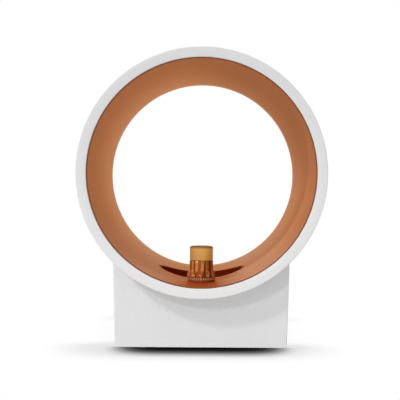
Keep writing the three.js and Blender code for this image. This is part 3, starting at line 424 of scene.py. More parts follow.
def math_node(tree, operation, *values):
    """One sum of outputs and plain numbers."""
    node = tree.nodes.new("ShaderNodeMath")
    node.operation = operation
    for socket, value in zip(node.inputs, values):
        fill(tree, socket, value)
    return node.outputs[0]


def fill(tree, socket, value):
    """Sets a socket to a plain number, or links an output to it."""
    if isinstance(value, (int, float)):
        socket.default_value = value
    else:
        tree.links.new(value, socket)


def either(tree, first, second):
    return math_node(tree, "MAXIMUM", first, second)


def product(tree, first, *others):
    for other in others:
        first = math_node(tree, "MULTIPLY", first, other)
    return first


def distance_of(tree, first, second):
    """How far two moves at right angles lead."""
    squares = [product(tree, side, side) for side in (first, second)]
    return math_node(tree, "SQRT", math_node(tree, "ADD", *squares))


def blended(tree, share, first, second):
    """Mixes two numbers, either of them an output."""
    node = tree.nodes.new("ShaderNodeMix")
    tree.links.new(share, node.inputs[MIX_SHARE])
    for socket, value in zip(MIX_NUMBERS, (first, second)):
        fill(tree, node.inputs[socket], value)
    return node.outputs[0]


def mixed(tree, share, first, second):
    """Mixes two colour outputs by a share."""
    node = tree.nodes.new("ShaderNodeMix")
    node.data_type = "RGBA"
    tree.links.new(share, node.inputs[MIX_SHARE])
    for socket, colour in zip(MIX_COLOURS, (first, second)):
        tree.links.new(colour, node.inputs[socket])
    return node.outputs[MIX_COLOUR_RESULT]


def axis_of(tree, vector, axis):
    node = tree.nodes.new("ShaderNodeSeparateXYZ")
    tree.links.new(vector, node.inputs[0])
    return node.outputs[axis]


def spread(tree, value, low=0.0, high=1.0, start=0.0, end=1.0, soft=False):
    """Maps a value from start and end to low and high."""
    node = tree.nodes.new("ShaderNodeMapRange")
    node.interpolation_type = "SMOOTHSTEP" if soft else "LINEAR"
    tree.links.new(value, node.inputs["Value"])
    node.inputs["From Min"].default_value = start
    node.inputs["From Max"].default_value = end
    node.inputs["To Min"].default_value = low
    node.inputs["To Max"].default_value = high
    return node.outputs["Result"]


def shade(red, green, blue):
    """A screen colour as the linear colour that a shader takes."""

    def linear(value):
        value /= SCREEN_WHITE
        if value <= SCREEN_KNEE:
            return value / SCREEN_STRAIGHT
        return ((value + SCREEN_OFFSET) / (1 + SCREEN_OFFSET)) ** SCREEN_POWER

    return (linear(red), linear(green), linear(blue), 1)


def shader_of(material):
    return material.node_tree.nodes["Principled BSDF"]


def new_finish(name, metallic=0.0, specular=0.5):
    material = bpy.data.materials.new(name)
    material.use_nodes = True
    shader_of(material).inputs["Metallic"].default_value = metallic
    shader_of(material).inputs["Specular IOR Level"].default_value = specular
    return material, material.node_tree


def place_on(tree, stretch=(1, 1, 1)):
    """A point's place in the object's own coordinates."""
    coordinates = tree.nodes.new("ShaderNodeTexCoord")
    mapping = tree.nodes.new("ShaderNodeMapping")
    mapping.inputs["Scale"].default_value = stretch
    tree.links.new(coordinates.outputs["Object"], mapping.inputs["Vector"])
    return mapping.outputs["Vector"]


def grain(tree, size, detail, stretch=(1, 1, 1)):
    """Cloudy pattern whose spots are about size across."""
    node = tree.nodes.new("ShaderNodeTexNoise")
    node.inputs["Scale"].default_value = 1 / size
    node.inputs["Detail"].default_value = detail
    tree.links.new(place_on(tree, stretch), node.inputs["Vector"])
    return node.outputs["Fac"]


def grains(tree, finish, *names):
    return [grain(tree, **finish[name]) for name in names]


def tint(tree, value, shades, span=GRAIN_SPAN):
    """Turns a value into a colour between a dark and a light shade."""
    ramp = tree.nodes.new("ShaderNodeValToRGB")
    for stop, position, screen_colour in zip(ramp.color_ramp.elements, span, shades):
        stop.position = position
        stop.color = shade(*screen_colour)
    tree.links.new(value, ramp.inputs["Fac"])
    return ramp.outputs["Color"]


def washed(tree, share, under, pattern, shades):
    """Lays a mottled colour over another by a share."""
    return mixed(tree, share, under, tint(tree, pattern, shades))


def flecked(tree, cloud, speck, finish):
    """A broad mottled colour with fine flecks in it."""
    broad = tint(tree, cloud, finish["broad"])
    fleck = tint(tree, speck, finish["fleck"], finish["fleck_span"])
    return mixed(tree, spread(tree, speck, *finish["fleck_share"]), broad, fleck)


def gloss(tree, pattern, roughness):
    """Roughness that varies with a pattern."""
    return spread(tree, pattern, *roughness, *GRAIN_SPAN)


def relief(tree, height, depth, strength, under=None):
    """Raises the surface by a height pattern, on top of an earlier relief."""
    node = tree.nodes.new("ShaderNodeBump")
    node.inputs["Strength"].default_value = strength
    node.inputs["Distance"].default_value = depth
    tree.links.new(height, node.inputs["Height"])
    if under is not None:
        tree.links.new(under, node.inputs["Normal"])
    return node.outputs["Normal"]


def surfaced(material, colour, roughness, normal):
    """Gives a material its colour, roughness and relief."""
    shader = shader_of(material)
    material.node_tree.links.new(colour, shader.inputs["Base Color"])
    material.node_tree.links.new(roughness, shader.inputs["Roughness"])
    material.node_tree.links.new(normal, shader.inputs["Normal"])
    return material


def white_coat():
    """Matt white coat with a fine sprayed texture, with painted light making the near rim paler
    and painted shade making the upper side greyer.
    """
    material, tree = new_finish("white_coat", specular=0.3)
    place = place_on(tree)
    cloud, speck, peel = grains(tree, WHITE, "cloud", "speck", "peel")
    rim = spread(tree, axis_of(tree, place, "Y"), **RIM_LIGHT_SPAN)
    upper = spread(tree, axis_of(tree, place, "Z"), **UPPER_SHADE_SPAN)
    colour = flecked(tree, cloud, speck, WHITE)
    # painted light makes the near rim paler, painted shade makes the upper side greyer
    colour = washed(tree, rim, colour, speck, WHITE["painted_light_on_rim"])
    colour = washed(tree, upper, colour, speck, WHITE["painted_shade_above"])
    rough = relief(tree, speck, *WHITE["relief"])
    normal = relief(tree, peel, *WHITE["peel_relief"], under=rough)
    return surfaced(material, colour, gloss(tree, speck, WHITE["roughness"]), normal)


def beside_holder(tree, place, limits, low, high):
    """Fades from low to high between two distances to either side of the lampholder."""
    beside = math_node(tree, "ABSOLUTE", axis_of(tree, place, "X"))
    start, end = (BASE_RING_RADIUS * limit for limit in limits)
    return spread(tree, beside, low, high, start, end, soft=True)


def low_down(tree, place):
    """The bottom of the lining, fading out on the way up."""
    bottom = AXIS_HEIGHT - LINING_RADIUS
    height = axis_of(tree, place, "Z")
    return spread(tree, height, 1, 0, bottom, bottom + LINING_RADIUS * LOW_SPREAD, soft=True)


def upper_right_shade_share(tree, place):
    """Painted shade on the lining's upper right, which makes it a little darker."""
    slope = math_node(tree, "ADD", axis_of(tree, place, "X"), axis_of(tree, place, "Z"))
    start = AXIS_HEIGHT + LINING_RADIUS * UPPER_SHADE_START
    return spread(tree, slope, 0, UPPER_SHADE_SHARE, start, start + LINING_RADIUS * UPPER_SHADE_SPREAD, soft=True)


def in_front_of_holder(tree, place):
    """The bottom of the lining in front of the lampholder, made more orange by a painted
    reflection of the lampholder, and rougher.
    """
    middle = beside_holder(tree, place, HOLDER_REFLECTION_SIDES, 1, 0)
    ring_front = HOLDER_Y - BASE_RING_RADIUS
    in_front = spread(tree, axis_of(tree, place, "Y"), 1, 0, ring_front, HOLDER_Y)
    return product(tree, middle, in_front, low_down(tree, place))


def shaded_cut_edges(tree, place):
    """Painted shade along the sheet's cut edges at both ends of the lining."""
    ends = math_node(tree, "ABSOLUTE", axis_of(tree, place, "Y"))
    return spread(tree, ends, 0, 1, CUT_EDGE_SHADE_START, CUT_EDGE_SHADE_END)


def collar_shade(tree, place):
    """Painted shade on the inside of the copper collar in the round opening, apart from its two
    sides.
    """
    along = math_node(tree, "SUBTRACT", axis_of(tree, place, "Y"), OPENING_Y)
    reach = distance_of(tree, axis_of(tree, place, "X"), along)
    inside = spread(tree, reach, 1, 0, **COLLAR_SHADE_INSIDE)
    below = spread(tree, axis_of(tree, place, "Z"), 1, 0, **COLLAR_SHADE_BELOW)
    beside = math_node(tree, "ABSOLUTE", axis_of(tree, place, "X"))
    return product(tree, inside, below, spread(tree, beside, 1, 0, **COLLAR_SHADE_ASIDE))


def copper_coat():
    """Satin copper with a fine fleck, with painted light, painted shade and a painted reflection
    that change with the place on the lining.
    """
    material, tree = new_finish("copper_coat", metallic=0.33, specular=0)
    shader_of(material).inputs["Specular Tint"].default_value = shade(*COPPER["glint"])
    place = place_on(tree)
    along = axis_of(tree, place, "Y")
    cloud, speck = grains(tree, COPPER, "cloud", "speck")
    low_side_light = beside_holder(tree, place, LOW_SIDE_LIGHT_SIDES, 0, LOW_SIDE_LIGHT_SHARE)
    holder_reflection = in_front_of_holder(tree, place)
    # painted light, painted shade and a painted reflection of the lampholder, by place on the
    # lining
    zones = {
        "near_end_shade": spread(tree, along, **NEAR_END_SHADE_SPAN, soft=True),
        "far_end_light": spread(tree, along, **FAR_END_LIGHT_SPAN, soft=True),
        "upper_right_shade": upper_right_shade_share(tree, place),
        "low_side_light": product(tree, low_side_light, low_down(tree, place)),
        "holder_reflection": spread(tree, holder_reflection, 0, HOLDER_REFLECTION_SHARE),
        "far_end_highlight": spread(tree, along, **FAR_END_HIGHLIGHT_SPAN, soft=True),
        "cut_edge_shade": shaded_cut_edges(tree, place),
    }
    colour = flecked(tree, cloud, speck, COPPER)
    for name, share in zones.items():
        colour = washed(tree, share, colour, speck, COPPER[name])
    # painted shade, dark maroon inside the opening's collar
    colour = washed(tree, collar_shade(tree, place), colour, cloud, COPPER["collar_shade"])
    dulled = spread(tree, holder_reflection, 0, HOLDER_REFLECTION_ROUGHNESS)
    roughness = math_node(tree, "ADD", gloss(tree, speck, COPPER["roughness"]), dulled)
    return surfaced(material, colour, roughness, relief(tree, speck, *COPPER["relief"]))


def from_holder(tree, place):
    """How far a point is to the right of the lampholder's middle, and how far in front of it."""
    in_front = math_node(tree, "SUBTRACT", HOLDER_Y, axis_of(tree, place, "Y"))
    return axis_of(tree, place, "X"), in_front


def wave_round(tree, turn, count):
    """A wave with so many crests round the lampholder."""
    return math_node(tree, "COSINE", product(tree, turn, count))


def beaded_bronze():
    """Dark bronze, with a painted highlight on the beads."""
    material, tree = new_finish("dark_bronze", metallic=0.6, specular=0.3)
    place = place_on(tree)
    stain = grain(tree, **BRONZE["stain"])
    turn = math_node(tree, "ARCTAN2", *from_holder(tree, place))
    middle = (ring_low.z + ring_high.z) / 2
    above = math_node(tree, "SUBTRACT", axis_of(tree, place, "Z"), middle)
    belt = spread(tree, math_node(tree, "ABSOLUTE", above), 1, 0, **BEAD_HIGHLIGHT_BELT, soft=True)
    beads = spread(tree, wave_round(tree, turn, BEAD_COUNT), 0, 1, 0, BEAD_HIGHLIGHT_WAVE, soft=True)
    dull = tint(tree, stain, BRONZE["dull"])
    # painted highlight on the bead crests
    colour = washed(tree, product(tree, belt, beads), dull, stain, BRONZE["bead_highlight"])
    roughness = gloss(tree, stain, BRONZE["roughness"])
    return surfaced(material, colour, roughness, relief(tree, stain, *BRONZE["relief"]))


def fluted_copper():
    """Polished copper, bright on the ridges between the flutes and tarnished in them, with painted
    shade on its right side, its flared foot and its hem.
    """
    material, tree = new_finish("polished_copper", specular=0.3)
    place = place_on(tree)
    stain, streak = grains(tree, POLISHED, "stain", "streak")
    across, in_front = from_holder(tree, place)
    reach = distance_of(tree, across, in_front)
    turn = math_node(tree, "ARCTAN2", across, in_front)
    wave = wave_round(tree, math_node(tree, "SUBTRACT", turn, FLUTE_TURN), FLUTE_COUNT)
    foot = spread(tree, reach, 0, FOOT_SHADE_SHARE, FOOT_START, FOOT_END)
    # painted shade on the right side, the flared foot and its hem
    zones = {
        "tarnish": spread(tree, wave, 1, 0, **FLUTE_WAVE, soft=True),
        "right_side_shade": spread(tree, across, **RIGHT_SIDE_SHADE_SPAN, soft=True),
        "foot": foot,
        "hem_shade": spread(tree, reach, 0, 1, HEM_SHADE_START, HEM_SHADE_END),
    }
    colour = tint(tree, streak, POLISHED["ridge"])
    for name, share in zones.items():
        colour = washed(tree, share, colour, stain, POLISHED[name])
    metallic = spread(tree, foot, *POLISHED["foot_metallic"])
    tree.links.new(metallic, shader_of(material).inputs["Metallic"])
    dulled = spread(tree, foot, 0, FOOT_ROUGHNESS)
    roughness = math_node(tree, "ADD", gloss(tree, stain, POLISHED["roughness"]), dulled)
    return surfaced(material, colour, roughness, relief(tree, streak, *POLISHED["relief"]))


def satin_brass():
    """Brushed brass that has gone dull, with painted light making its right side a little orange
    and painted shade making its lip brown.
    """
    material, tree = new_finish("satin_brass", metallic=0.3, specular=0.2)
    place = place_on(tree)
    lines, cloud, speck = grains(tree, SATIN, "lines", "cloud", "speck")
    right = spread(tree, axis_of(tree, place, "X"), 0, 1, -SLEEVE_RADIUS / 4, SLEEVE_RADIUS)
    lip = spread(tree, axis_of(tree, place, "Z"), **LIP_SHADE_BAND, soft=True)
    colour = flecked(tree, cloud, speck, SATIN)
    # painted light on the right side, then painted shade at the lip
    colour = washed(tree, right, colour, cloud, SATIN["right_side_light"])
    colour = washed(tree, lip, colour, cloud, SATIN["lip"])
    roughness = gloss(tree, cloud, SATIN["roughness"])
    return surfaced(material, colour, roughness, relief(tree, lines, *SATIN["relief"]))


def turned_metal(name, shades, roughness):
    """Metal turned on a lathe: fine lines round it, faint stains and a varied gloss."""
    material, tree = new_finish(name, metallic=1.0)
    lines, stain = grains(tree, TURNED, "lines", "stain")
    colour = tint(tree, stain, shades)
    normal = relief(tree, lines, *TURNED["relief"])
    return surfaced(material, colour, gloss(tree, stain, roughness), normal)


def plain_moulding(name, shades, roughness):
    """Moulded or fired piece with a mottled colour and a fine skin."""
    material, tree = new_finish(name, specular=0.4)
    speck = grain(tree, **MOULDED["speck"])
    colour = tint(tree, speck, shades)
    normal = relief(tree, speck, *MOULDED["relief"])
    return surfaced(material, colour, gloss(tree, speck, roughness), normal)


def finishes():
    """Every finish of the light, by its slot in the record."""
    made = {
        "white_coat": white_coat(),
        "copper_coat": copper_coat(),
        "dark_bronze": beaded_bronze(),
        "polished_copper": fluted_copper(),
        "satin_brass": satin_brass(),
    }
    for name, look in TURNED_METALS.items():
        made[name] = turned_metal(name, **look)
    for name, look in MOULDINGS.items():
        made[name] = plain_moulding(name, **look)
    return made


def linked(bm):
    """Puts a finished bmesh into the scene as a working solid at the origin."""
    mesh = bpy.data.meshes.new("working")
    bm.to_mesh(mesh)
    bm.free()
    solid = bpy.data.objects.new("working", mesh)
    bpy.context.collection.objects.link(solid)
    return solid


def clean(bm):
    """Joins doubled points and turns every face outwards."""
    bmesh.ops.remove_doubles(bm, verts=bm.verts, dist=MERGE_DISTANCE)
    bmesh.ops.recalc_face_normals(bm, faces=bm.faces)


def spun(outline, steps, rows=0):
    """Spins a closed outline of (radius, height) points right round the Z axis."""
    bm = bmesh.new()
    corners = [bm.verts.new((radius, 0, height)) for radius, height in outline]
    edges = [bm.edges.new(pair) for pair in zip(corners, corners[1:] + corners[:1])]
    if rows:
        longest = max(edge.calc_length() for edge in edges)
        long_edges = [edge for edge in edges if edge.calc_length() > longest / 2]
        bmesh.ops.subdivide_edges(bm, edges=long_edges, cuts=rows)
    bmesh.ops.spin(
        bm,
        geom=bm.verts[:] + bm.edges[:],
        cent=(0, 0, 0),
        axis=(0, 0, 1),
        angle=math.tau,
        steps=steps,
        use_merge=True,
    )
    clean(bm)
    return bm


def round_off(bm, edges, rounding, segments):
    bmesh.ops.bevel(
        bm,
        geom=edges,
        affect="EDGES",
        offset=rounding,
        segments=segments,
        profile=0.5,
        material=-1,
        clamp_overlap=True,
    )


def circle_at(bm, radius, height):
    """Edges of the circle of that radius and height about the Z axis."""

    def on_circle(vert):
        off_radius = abs(math.hypot(vert.co.x, vert.co.y) - radius)
        return max(off_radius, abs(vert.co.z - height)) < CIRCLE_TOLERANCE

    return [edge for edge in bm.edges if all(on_circle(vert) for vert in edge.verts)]


def turned(bm, angle, axis):
    """Turns a bmesh about an axis through the origin."""
    matrix = Matrix.Rotation(angle, 3, axis)
    bmesh.ops.rotate(bm, verts=bm.verts, cent=(0, 0, 0), matrix=matrix)
    return bm


def moved(bm, y=0.0, z=0.0):
    bmesh.ops.translate(bm, verts=bm.verts, vec=(0, y, z))
    return bm


def laid_on_tube(bm):
    """Turns what stands along Z so that it lies along the tube's axis."""
    return moved(turned(bm, -math.pi / 2, "X"), z=AXIS_HEIGHT)


def drum(radius, low, high, steps):
    """A closed upright cylinder."""
    bm = bmesh.new()
    bmesh.ops.create_cone(
        bm, cap_ends=True, segments=steps, radius1=radius, radius2=radius, depth=high - low
    )
    return moved(bm, z=(low + high) / 2)


def cut_from(solid, cutters, operation="DIFFERENCE"):
    """Cuts every cutter from the solid, or joins it on, and removes the cutter."""
    for cutter in cutters:
        modifier = solid.modifiers.new("cut", "BOOLEAN")
        modifier.operation = operation
        modifier.solver = "EXACT"
        modifier.object = cutter
    evaluated = solid.evaluated_get(bpy.context.evaluated_depsgraph_get())
    result = bpy.data.meshes.new_from_object(evaluated)
    solid.modifiers.clear()
    solid.data = result
    for cutter in cutters:
        bpy.data.objects.remove(cutter)
    return solid


def finished(name, solid, material, nodes, body="lamp"):
    """Names a solid, shades it and lets it stand for its nodes."""
    solid.name = name
    solid.data.name = name
    solid.data.materials.clear()
    solid.data.materials.append(material)
    solid.data.shade_smooth()
    solid.data.set_sharp_from_angle(angle=SMOOTH_ANGLE)
    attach(solid, body)
    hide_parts(*nodes)
    return solid


def opening_cutter(radius):
    return linked(moved(drum(radius, -OVERRUN, AXIS_HEIGHT, OPENING_STEPS), y=OPENING_Y))


def nipple_cutter():
    return linked(moved(drum(NIPPLE_HOLE_RADIUS, -OVERRUN, AXIS_HEIGHT, HOLE_STEPS), y=HOLDER_Y))


def saddle_screw_cutters(near, far):
    """One leaning cutter for each of the four screws between the saddle and the tube."""
    cutters = []
    for side in (-1, 1):
        for end in (-1, 1):
            upright = drum(SCREW_THREAD_RADIUS + GAP, -far, -near, HOLE_STEPS)
            leaning = turned(upright, SADDLE_SCREW_LEAN * side, "Y")
            cutters.append(linked(moved(leaning, y=end * SADDLE_SCREW_Y, z=AXIS_HEIGHT)))
    return cutters


def side_screw_cutters():
    """One cutter for the thread and one for the sunk head of each side screw."""
    head_seat = BOX_FOOT_HALF_WIDTH + BOX_SLOPE * SIDE_SCREW_HEIGHT - SIDE_SCREW_SINK
    bores = ((SCREW_THREAD_RADIUS + GAP, 0), (SIDE_HEAD_RADIUS + GAP, head_seat))
    cutters = []
    for side in (-1, 1):
        for radius, start in bores:
            level = turned(drum(radius, start, TUBE_RADIUS, HOLE_STEPS), side * math.pi / 2, "Y")
            cutters.append(linked(moved(level, y=SIDE_SCREW_Y, z=SIDE_SCREW_HEIGHT)))
    return cutters


def open_tube(inner, outer, half, rounding, segments):
    """A tube lying along the light's axis, the edges of its two ends rounded."""
    outline = [(inner, -half), (outer, -half), (outer, half), (inner, half)]
    bm = spun(outline, TUBE_STEPS, TUBE_ROWS)
    rims = [
        edge
        for radius in (inner, outer)
        for height in (-half, half)
        for edge in circle_at(bm, radius, height)
    ]
    round_off(bm, rims, rounding, segments)
    return linked(laid_on_tube(bm))


def tube_core(radius):
    """A solid round core, longer than the tube."""
    reach = TUBE_HALF + OVERRUN
    return linked(laid_on_tube(drum(radius, -reach, reach, TUBE_STEPS)))


def tube_shell(material):
    inner = TUBE_RADIUS - TUBE_WALL
    shell = open_tube(inner, TUBE_RADIUS, TUBE_HALF, RIM_ROUNDING, RIM_SEGMENTS)
    screw_tips = TUBE_RADIUS - SADDLE_SCREW_GRIP
    cutters = [opening_cutter(OPENING_CLEAR_RADIUS), nipple_cutter()]
    cut_from(shell, cutters + saddle_screw_cutters(screw_tips, SADDLE_RADIUS))
    return finished("white_tube", shell, material, ["tube_shell"])


def drafted_block(half_width, half_length, low, high):
    """A block whose four sides spread outwards with height, its upright edges rounded."""
    bm = bmesh.new()
    bmesh.ops.create_cube(bm, size=2)
    bmesh.ops.scale(bm, verts=bm.verts, vec=(half_width, half_length, 1))
    for vert in bm.verts:
        vert.co.z = low if vert.co.z < 0 else high
        vert.co.x += math.copysign(BOX_SLOPE * vert.co.z, vert.co.x)
        vert.co.y += math.copysign(BOX_SLOPE * vert.co.z, vert.co.y)
    rises = [(edge, edge.verts[0].co.z - edge.verts[1].co.z) for edge in bm.edges]
    upright = [edge for edge, rise in rises if abs(rise) > OVERRUN]
    round_off(bm, upright, BOX_CORNER_ROUNDING, RIM_SEGMENTS)
    return bm


def box_hollow():
    """The room inside the wall box, below its saddle and round the nipple's boss."""
    half_width = BOX_FOOT_HALF_WIDTH - BOX_WALL
    half_length = BOX_FOOT_HALF_LENGTH - BOX_WALL
    hollow = linked(drafted_block(half_width, half_length, -OVERRUN, AXIS_HEIGHT))
    boss = linked(moved(drum(BOSS_RADIUS, BOSS_FOOT, AXIS_HEIGHT, SMALL_STEPS), y=HOLDER_Y))
    return cut_from(hollow, [tube_core(SADDLE_RADIUS), boss])


def wall_box(material):
    bm = drafted_block(BOX_FOOT_HALF_WIDTH, BOX_FOOT_HALF_LENGTH, 0, AXIS_HEIGHT)
    foot = [edge for edge in bm.edges if all(vert.co.z < OVERRUN for vert in edge.verts)]
    round_off(bm, foot, BOX_FOOT_ROUNDING, EDGE_SEGMENTS)
    box = linked(bm)
    hollow = box_hollow()
    cutters = [tube_core(SADDLE_TOP_RADIUS), hollow, opening_cutter(OPENING_CLEAR_RADIUS)]
    cutters.append(nipple_cutter())
    cutters += saddle_screw_cutters(0, SADDLE_RADIUS + BOSS_DROP)
    cutters += side_screw_cutters()
    cut_from(box, cutters)
    return finished("white_wall_box", box, material, ["wall_box"])


def copper_lining(material):
    inner, outer = LINING_RADIUS, LINING_OUTER_RADIUS
    lining = open_tube(inner, outer, LINING_HALF, LINING_EDGE_ROUNDING, EDGE_SEGMENTS)
    collar_radius = OPENING_RADIUS + LINING_THICKNESS
    upright = drum(collar_radius, OPENING_COLLAR_FOOT, AXIS_HEIGHT, OPENING_STEPS)
    collar = linked(moved(upright, y=OPENING_Y))
    cut_from(collar, [tube_core((inner + outer) / 2)])
    cut_from(lining, [collar], "UNION")
    cut_from(lining, [opening_cutter(OPENING_RADIUS), nipple_cutter()])
    return finished("copper_tube_lining", lining, material, ["copper_lining"])


def stood_at_holder(bm):
    return linked(moved(bm, y=HOLDER_Y))


def drawn_in(vert, radius, new_radius):
    """Brings a point of a spun piece in to a new radius."""
    scale = new_radius / radius
    vert.co.x *= scale
    vert.co.y *= scale


def beaded(bm, low, high):
    """Presses hollows between the beads into the outside of the spun ring."""
    for vert in bm.verts:
        radius = math.hypot(vert.co.x, vert.co.y)
        inside = min(vert.co.z - low, high - vert.co.z)
        if inside < 0 or radius < COLLAR_BORE + BEAD_DEPTH / 2:
            continue
        turn = math.atan2(vert.co.x, vert.co.y)
        hollow = (1 - math.cos(BEAD_COUNT * turn)) / 2
        drawn_in(vert, radius, radius - BEAD_DEPTH * hollow * min(1, inside / BEAD_DEPTH))


def base_ring(material):
    outer, low, high = BASE_RING_RADIUS, ring_low.z, ring_high.z
    floor = low + BASE_RING_FLOOR
    insets = [BEAD_DEPTH * (1 - math.cos(angle)) for angle in BEAD_ARC]
    drops = [BEAD_DEPTH * (1 - math.sin(angle)) for angle in BEAD_ARC]
    edge = list(zip(insets, drops))
    outline = [(NIPPLE_HOLE_RADIUS, low)]
    outline += [(outer - inset, low + drop) for inset, drop in reversed(edge)]
    outline += [(outer, low + (high - low) * share) for share in BASE_RING_ROWS]
    outline += [(outer - inset, high - drop) for inset, drop in edge]
    outline += [(COLLAR_BORE, high), (COLLAR_BORE, floor), (NIPPLE_HOLE_RADIUS, floor)]
    bm = spun(outline, BEAD_COUNT * BEAD_STEPS)
    beaded(bm, low, high)
    ring = stood_at_holder(bm)
    return finished("beaded_base_ring", ring, material, ["base_ring"])


def collar_outline(low, high):
    """Section of the collar: its foot, the flare, the upright part and the top edge."""
    crest, flare_low = COLLAR_CREST_RADIUS, low + COLLAR_LIP
    rise = (COLLAR_FLARE_HEIGHT - COLLAR_LIP) / (len(COLLAR_FLARE_SHARES) - 1)
    flare = [
        (crest + COLLAR_FLARE * share, flare_low + rise * step)
        for step, share in enumerate(COLLAR_FLARE_SHARES)
    ]
    foot_radius, flare_high = flare[0][0], flare[-1][1]
    foot = [(COLLAR_BORE, low), (foot_radius - COLLAR_LIP / 2, low)]
    foot.append((foot_radius, low + COLLAR_LIP / 2))
    height = high - COLLAR_LIP - flare_high
    upright = [(crest, flare_high + height * share) for share in COLLAR_ROWS]
    top = [(crest - COLLAR_TOP_INSET, high - COLLAR_TOP_DROP), (crest - FLUTE_DEPTH, high)]
    return foot + flare + upright + top + [(COLLAR_BORE, high)]


def fluted(bm, low):
    """Cuts upright flutes into the spun collar, so that only their ridges follow the flare."""
    valley = COLLAR_CREST_RADIUS - FLUTE_DEPTH
    for vert in bm.verts:
        radius = math.hypot(vert.co.x, vert.co.y)
        if radius < valley:
            continue
        turn = math.atan2(vert.co.x, -vert.co.y) - FLUTE_TURN
        ridge = (1 + math.cos(FLUTE_COUNT * turn)) / 2
        run_out = max(0, 1 - (vert.co.z - low) / FLUTE_RUN_OUT_HEIGHT) ** 2
        cut = valley + FLUTE_DEPTH * min(1, ridge / FLUTE_CREST_SHARE)
        cut += COLLAR_FLARE * ridge ** COLLAR_RIDGE_POWER + FLUTE_RUN_OUT * run_out
        drawn_in(vert, radius, min(radius, cut))


def fluted_collar(material):
    low, high = collar_low.z, collar_high.z
    bm = spun(collar_outline(low, high), FLUTE_COUNT * FLUTE_STEPS)
    fluted(bm, low)
    collar = stood_at_holder(bm)
    nodes, slot, body = ["fluted_collar"], "polished_copper", "grip_collar"
    return finished("fluted_grip_collar", collar, material, nodes, body)


def lamp_sleeve(material):
    low, high = sleeve_low.z, sleeve_high.z
    lip_foot = high - SLEEVE_LIP
    outline = [
        (SLEEVE_BORE, low),
        (SLEEVE_SHANK_RADIUS, low),
        (SLEEVE_SHANK_RADIUS, SLEEVE_SHOULDER),
        (SLEEVE_RADIUS, SLEEVE_SHOULDER),
        (SLEEVE_RADIUS, high),
        (SLEEVE_MOUTH_RADIUS, high),
        (SLEEVE_MOUTH_RADIUS, lip_foot),
        (SLEEVE_BORE, lip_foot),
    ]
    bm = spun(outline, SMALL_STEPS)
    round_off(bm, circle_at(bm, SLEEVE_RADIUS, high), SLEEVE_ROUNDING, LIP_SEGMENTS)
    edges = circle_at(bm, SLEEVE_MOUTH_RADIUS, high) + circle_at(bm, SLEEVE_MOUTH_RADIUS, lip_foot)
    edges += circle_at(bm, SLEEVE_RADIUS, SLEEVE_SHOULDER)
    round_off(bm, edges, SLEEVE_EDGE_ROUNDING, EDGE_SEGMENTS)
    sleeve = stood_at_holder(bm)
    return finished("brass_lamp_sleeve", sleeve, material, ["lamp_sleeve"])


def eased(node, material):
    """A smooth copy of a small CAD piece, its sharp edges broken as after deburring."""
    bm = bmesh.new()
    bm.from_mesh(frame["nodes"][node].data)
    clean(bm)
    bmesh.ops.dissolve_limit(bm, angle_limit=FLAT_ANGLE, verts=bm.verts, edges=bm.edges)
    sharp = [edge for edge in bm.edges if edge.calc_face_angle(0) > SMOOTH_ANGLE]
    round_off(bm, sharp, DEBURRING, DEBURRING_SEGMENTS)
    return finished(f"eased_{node}", linked(bm), material, [node])


def small_pieces(materials):
    """Every node that no piece stands for yet, in the finish of its slot."""
    for part in frame["record"]["subparts"]:
        node, slot = part["node"], part["material_slot"]
        if not frame["nodes"][node].hide_render:
            eased(node, materials[slot])


def contact_shadow(tree):
    """Faint shade close round whatever stands on the floor, deeper towards the far end."""
    occlusion = tree.nodes.new("ShaderNodeAmbientOcclusion")
    occlusion.inputs["Distance"].default_value = CONTACT_REACH
    covered = spread(tree, occlusion.outputs["AO"], 1, 0, CONTACT_START, 1)
    along = axis_of(tree, place_on(tree), "Y")
    depth = spread(tree, along, *CONTACT_DEPTH, *CONTACT_FADE, soft=True)
    return math_node(tree, "SUBTRACT", 1, product(tree, covered, depth))


def stepped(tree, value, steps):
    """Turns a value into a grey that passes through the given brightnesses."""
    ramp = tree.nodes.new("ShaderNodeValToRGB")
    tree.links.new(value, ramp.inputs["Fac"])
    stops = ramp.color_ramp.elements
    while len(stops) < len(steps):
        stops.new(1)
    for stop, (position, brightness) in zip(stops, steps):
        stop.position = position
        stop.color = (brightness, brightness, brightness, 1)
    return ramp.outputs["Color"]


def pool_of_shade(tree, shape):
    """Painted soft shadow in front of the wall box, widest at the box and rounded off towards the
    room.
    """
    place = place_on(tree)
    across = math_node(tree, "SUBTRACT", axis_of(tree, place, "X"), shape["middle"])
    across = math_node(tree, "DIVIDE", math_node(tree, "ABSOLUTE", across), shape["half_width"])
    across = math_node(tree, "POWER", across, shape["squareness"])
    along = math_node(tree, "ADD", axis_of(tree, place, "Y"), BOX_FOOT_HALF_LENGTH)
    along = math_node(tree, "DIVIDE", along, shape["reach"])
    along = either(tree, product(tree, along, shape["fade_behind"]), product(tree, along, -1))
    farthest = shape["steps"][-1][0]
    out = math_node(tree, "DIVIDE", distance_of(tree, across, along), farthest)
    steps = [(distance / farthest, brightness) for distance, brightness in shape["steps"]]
    return stepped(tree, out, steps)


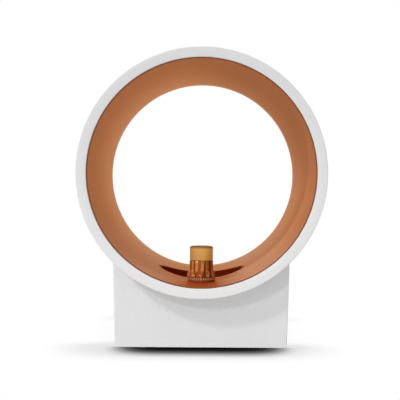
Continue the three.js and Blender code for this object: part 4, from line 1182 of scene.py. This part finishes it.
def under_box(tree):
    """Painted shade inside the open back of the wall box."""
    place = place_on(tree)
    inside = []
    for axis, half in (("X", BOX_FOOT_HALF_WIDTH), ("Y", BOX_FOOT_HALF_LENGTH)):
        away = math_node(tree, "ABSOLUTE", axis_of(tree, place, axis))
        inside.append(spread(tree, away, 1, 0, half - BOX_WALL, half))
    return spread(tree, product(tree, *inside), 1, UNDER_BOX_SHADE)


def floor_paint():
    """White with its shade where it is seen, and plain pale where it only passes light on."""
    material = bpy.data.materials.new("studio_floor")
    material.use_nodes = True
    tree = material.node_tree
    tree.nodes.remove(tree.nodes["Principled BSDF"])
    pools = [pool_of_shade(tree, shape) for shape in (FRONT_SHADOW, FRONT_HALO)]
    brightness = product(tree, contact_shadow(tree), product(tree, *pools), under_box(tree))
    seen = tree.nodes.new("ShaderNodeEmission")
    tree.links.new(brightness, seen.inputs["Strength"])
    lit = tree.nodes.new("ShaderNodeBsdfDiffuse")
    lit.inputs["Color"].default_value = FLOOR_COLOUR
    path = tree.nodes.new("ShaderNodeLightPath")
    direct = either(tree, path.outputs["Is Camera Ray"], path.outputs["Is Glossy Ray"])
    choice = tree.nodes.new("ShaderNodeMixShader")
    for socket, output in zip(choice.inputs, (direct, lit.outputs[0], seen.outputs[0])):
        tree.links.new(output, socket)
    tree.links.new(choice.outputs[0], tree.nodes["Material Output"].inputs["Surface"])
    return material


def studio_floor():
    """A white floor that keeps only the soft shadow where the object meets it, painted into the
    floor's brightness.
    """
    bm = bmesh.new()
    bmesh.ops.create_grid(bm, x_segments=1, y_segments=1, size=FLOOR_SIZE / 2)
    floor = linked(moved(bm, z=-FLOOR_DROP))
    floor.name = "studio_floor"
    floor.data.materials.append(floor_paint())


camera()
sun("high_sun", **HIGH_SUN)
sun("low_sun", **LOW_SUN)
studio_world()
studio_floor()
materials = finishes()
tube_shell(materials["white_coat"])
wall_box(materials["white_coat"])
copper_lining(materials["copper_coat"])
base_ring(materials["dark_bronze"])
fluted_collar(materials["polished_copper"])
lamp_sleeve(materials["satin_brass"])
small_pieces(materials)

bpy.context.scene.view_settings.view_transform = "Standard"
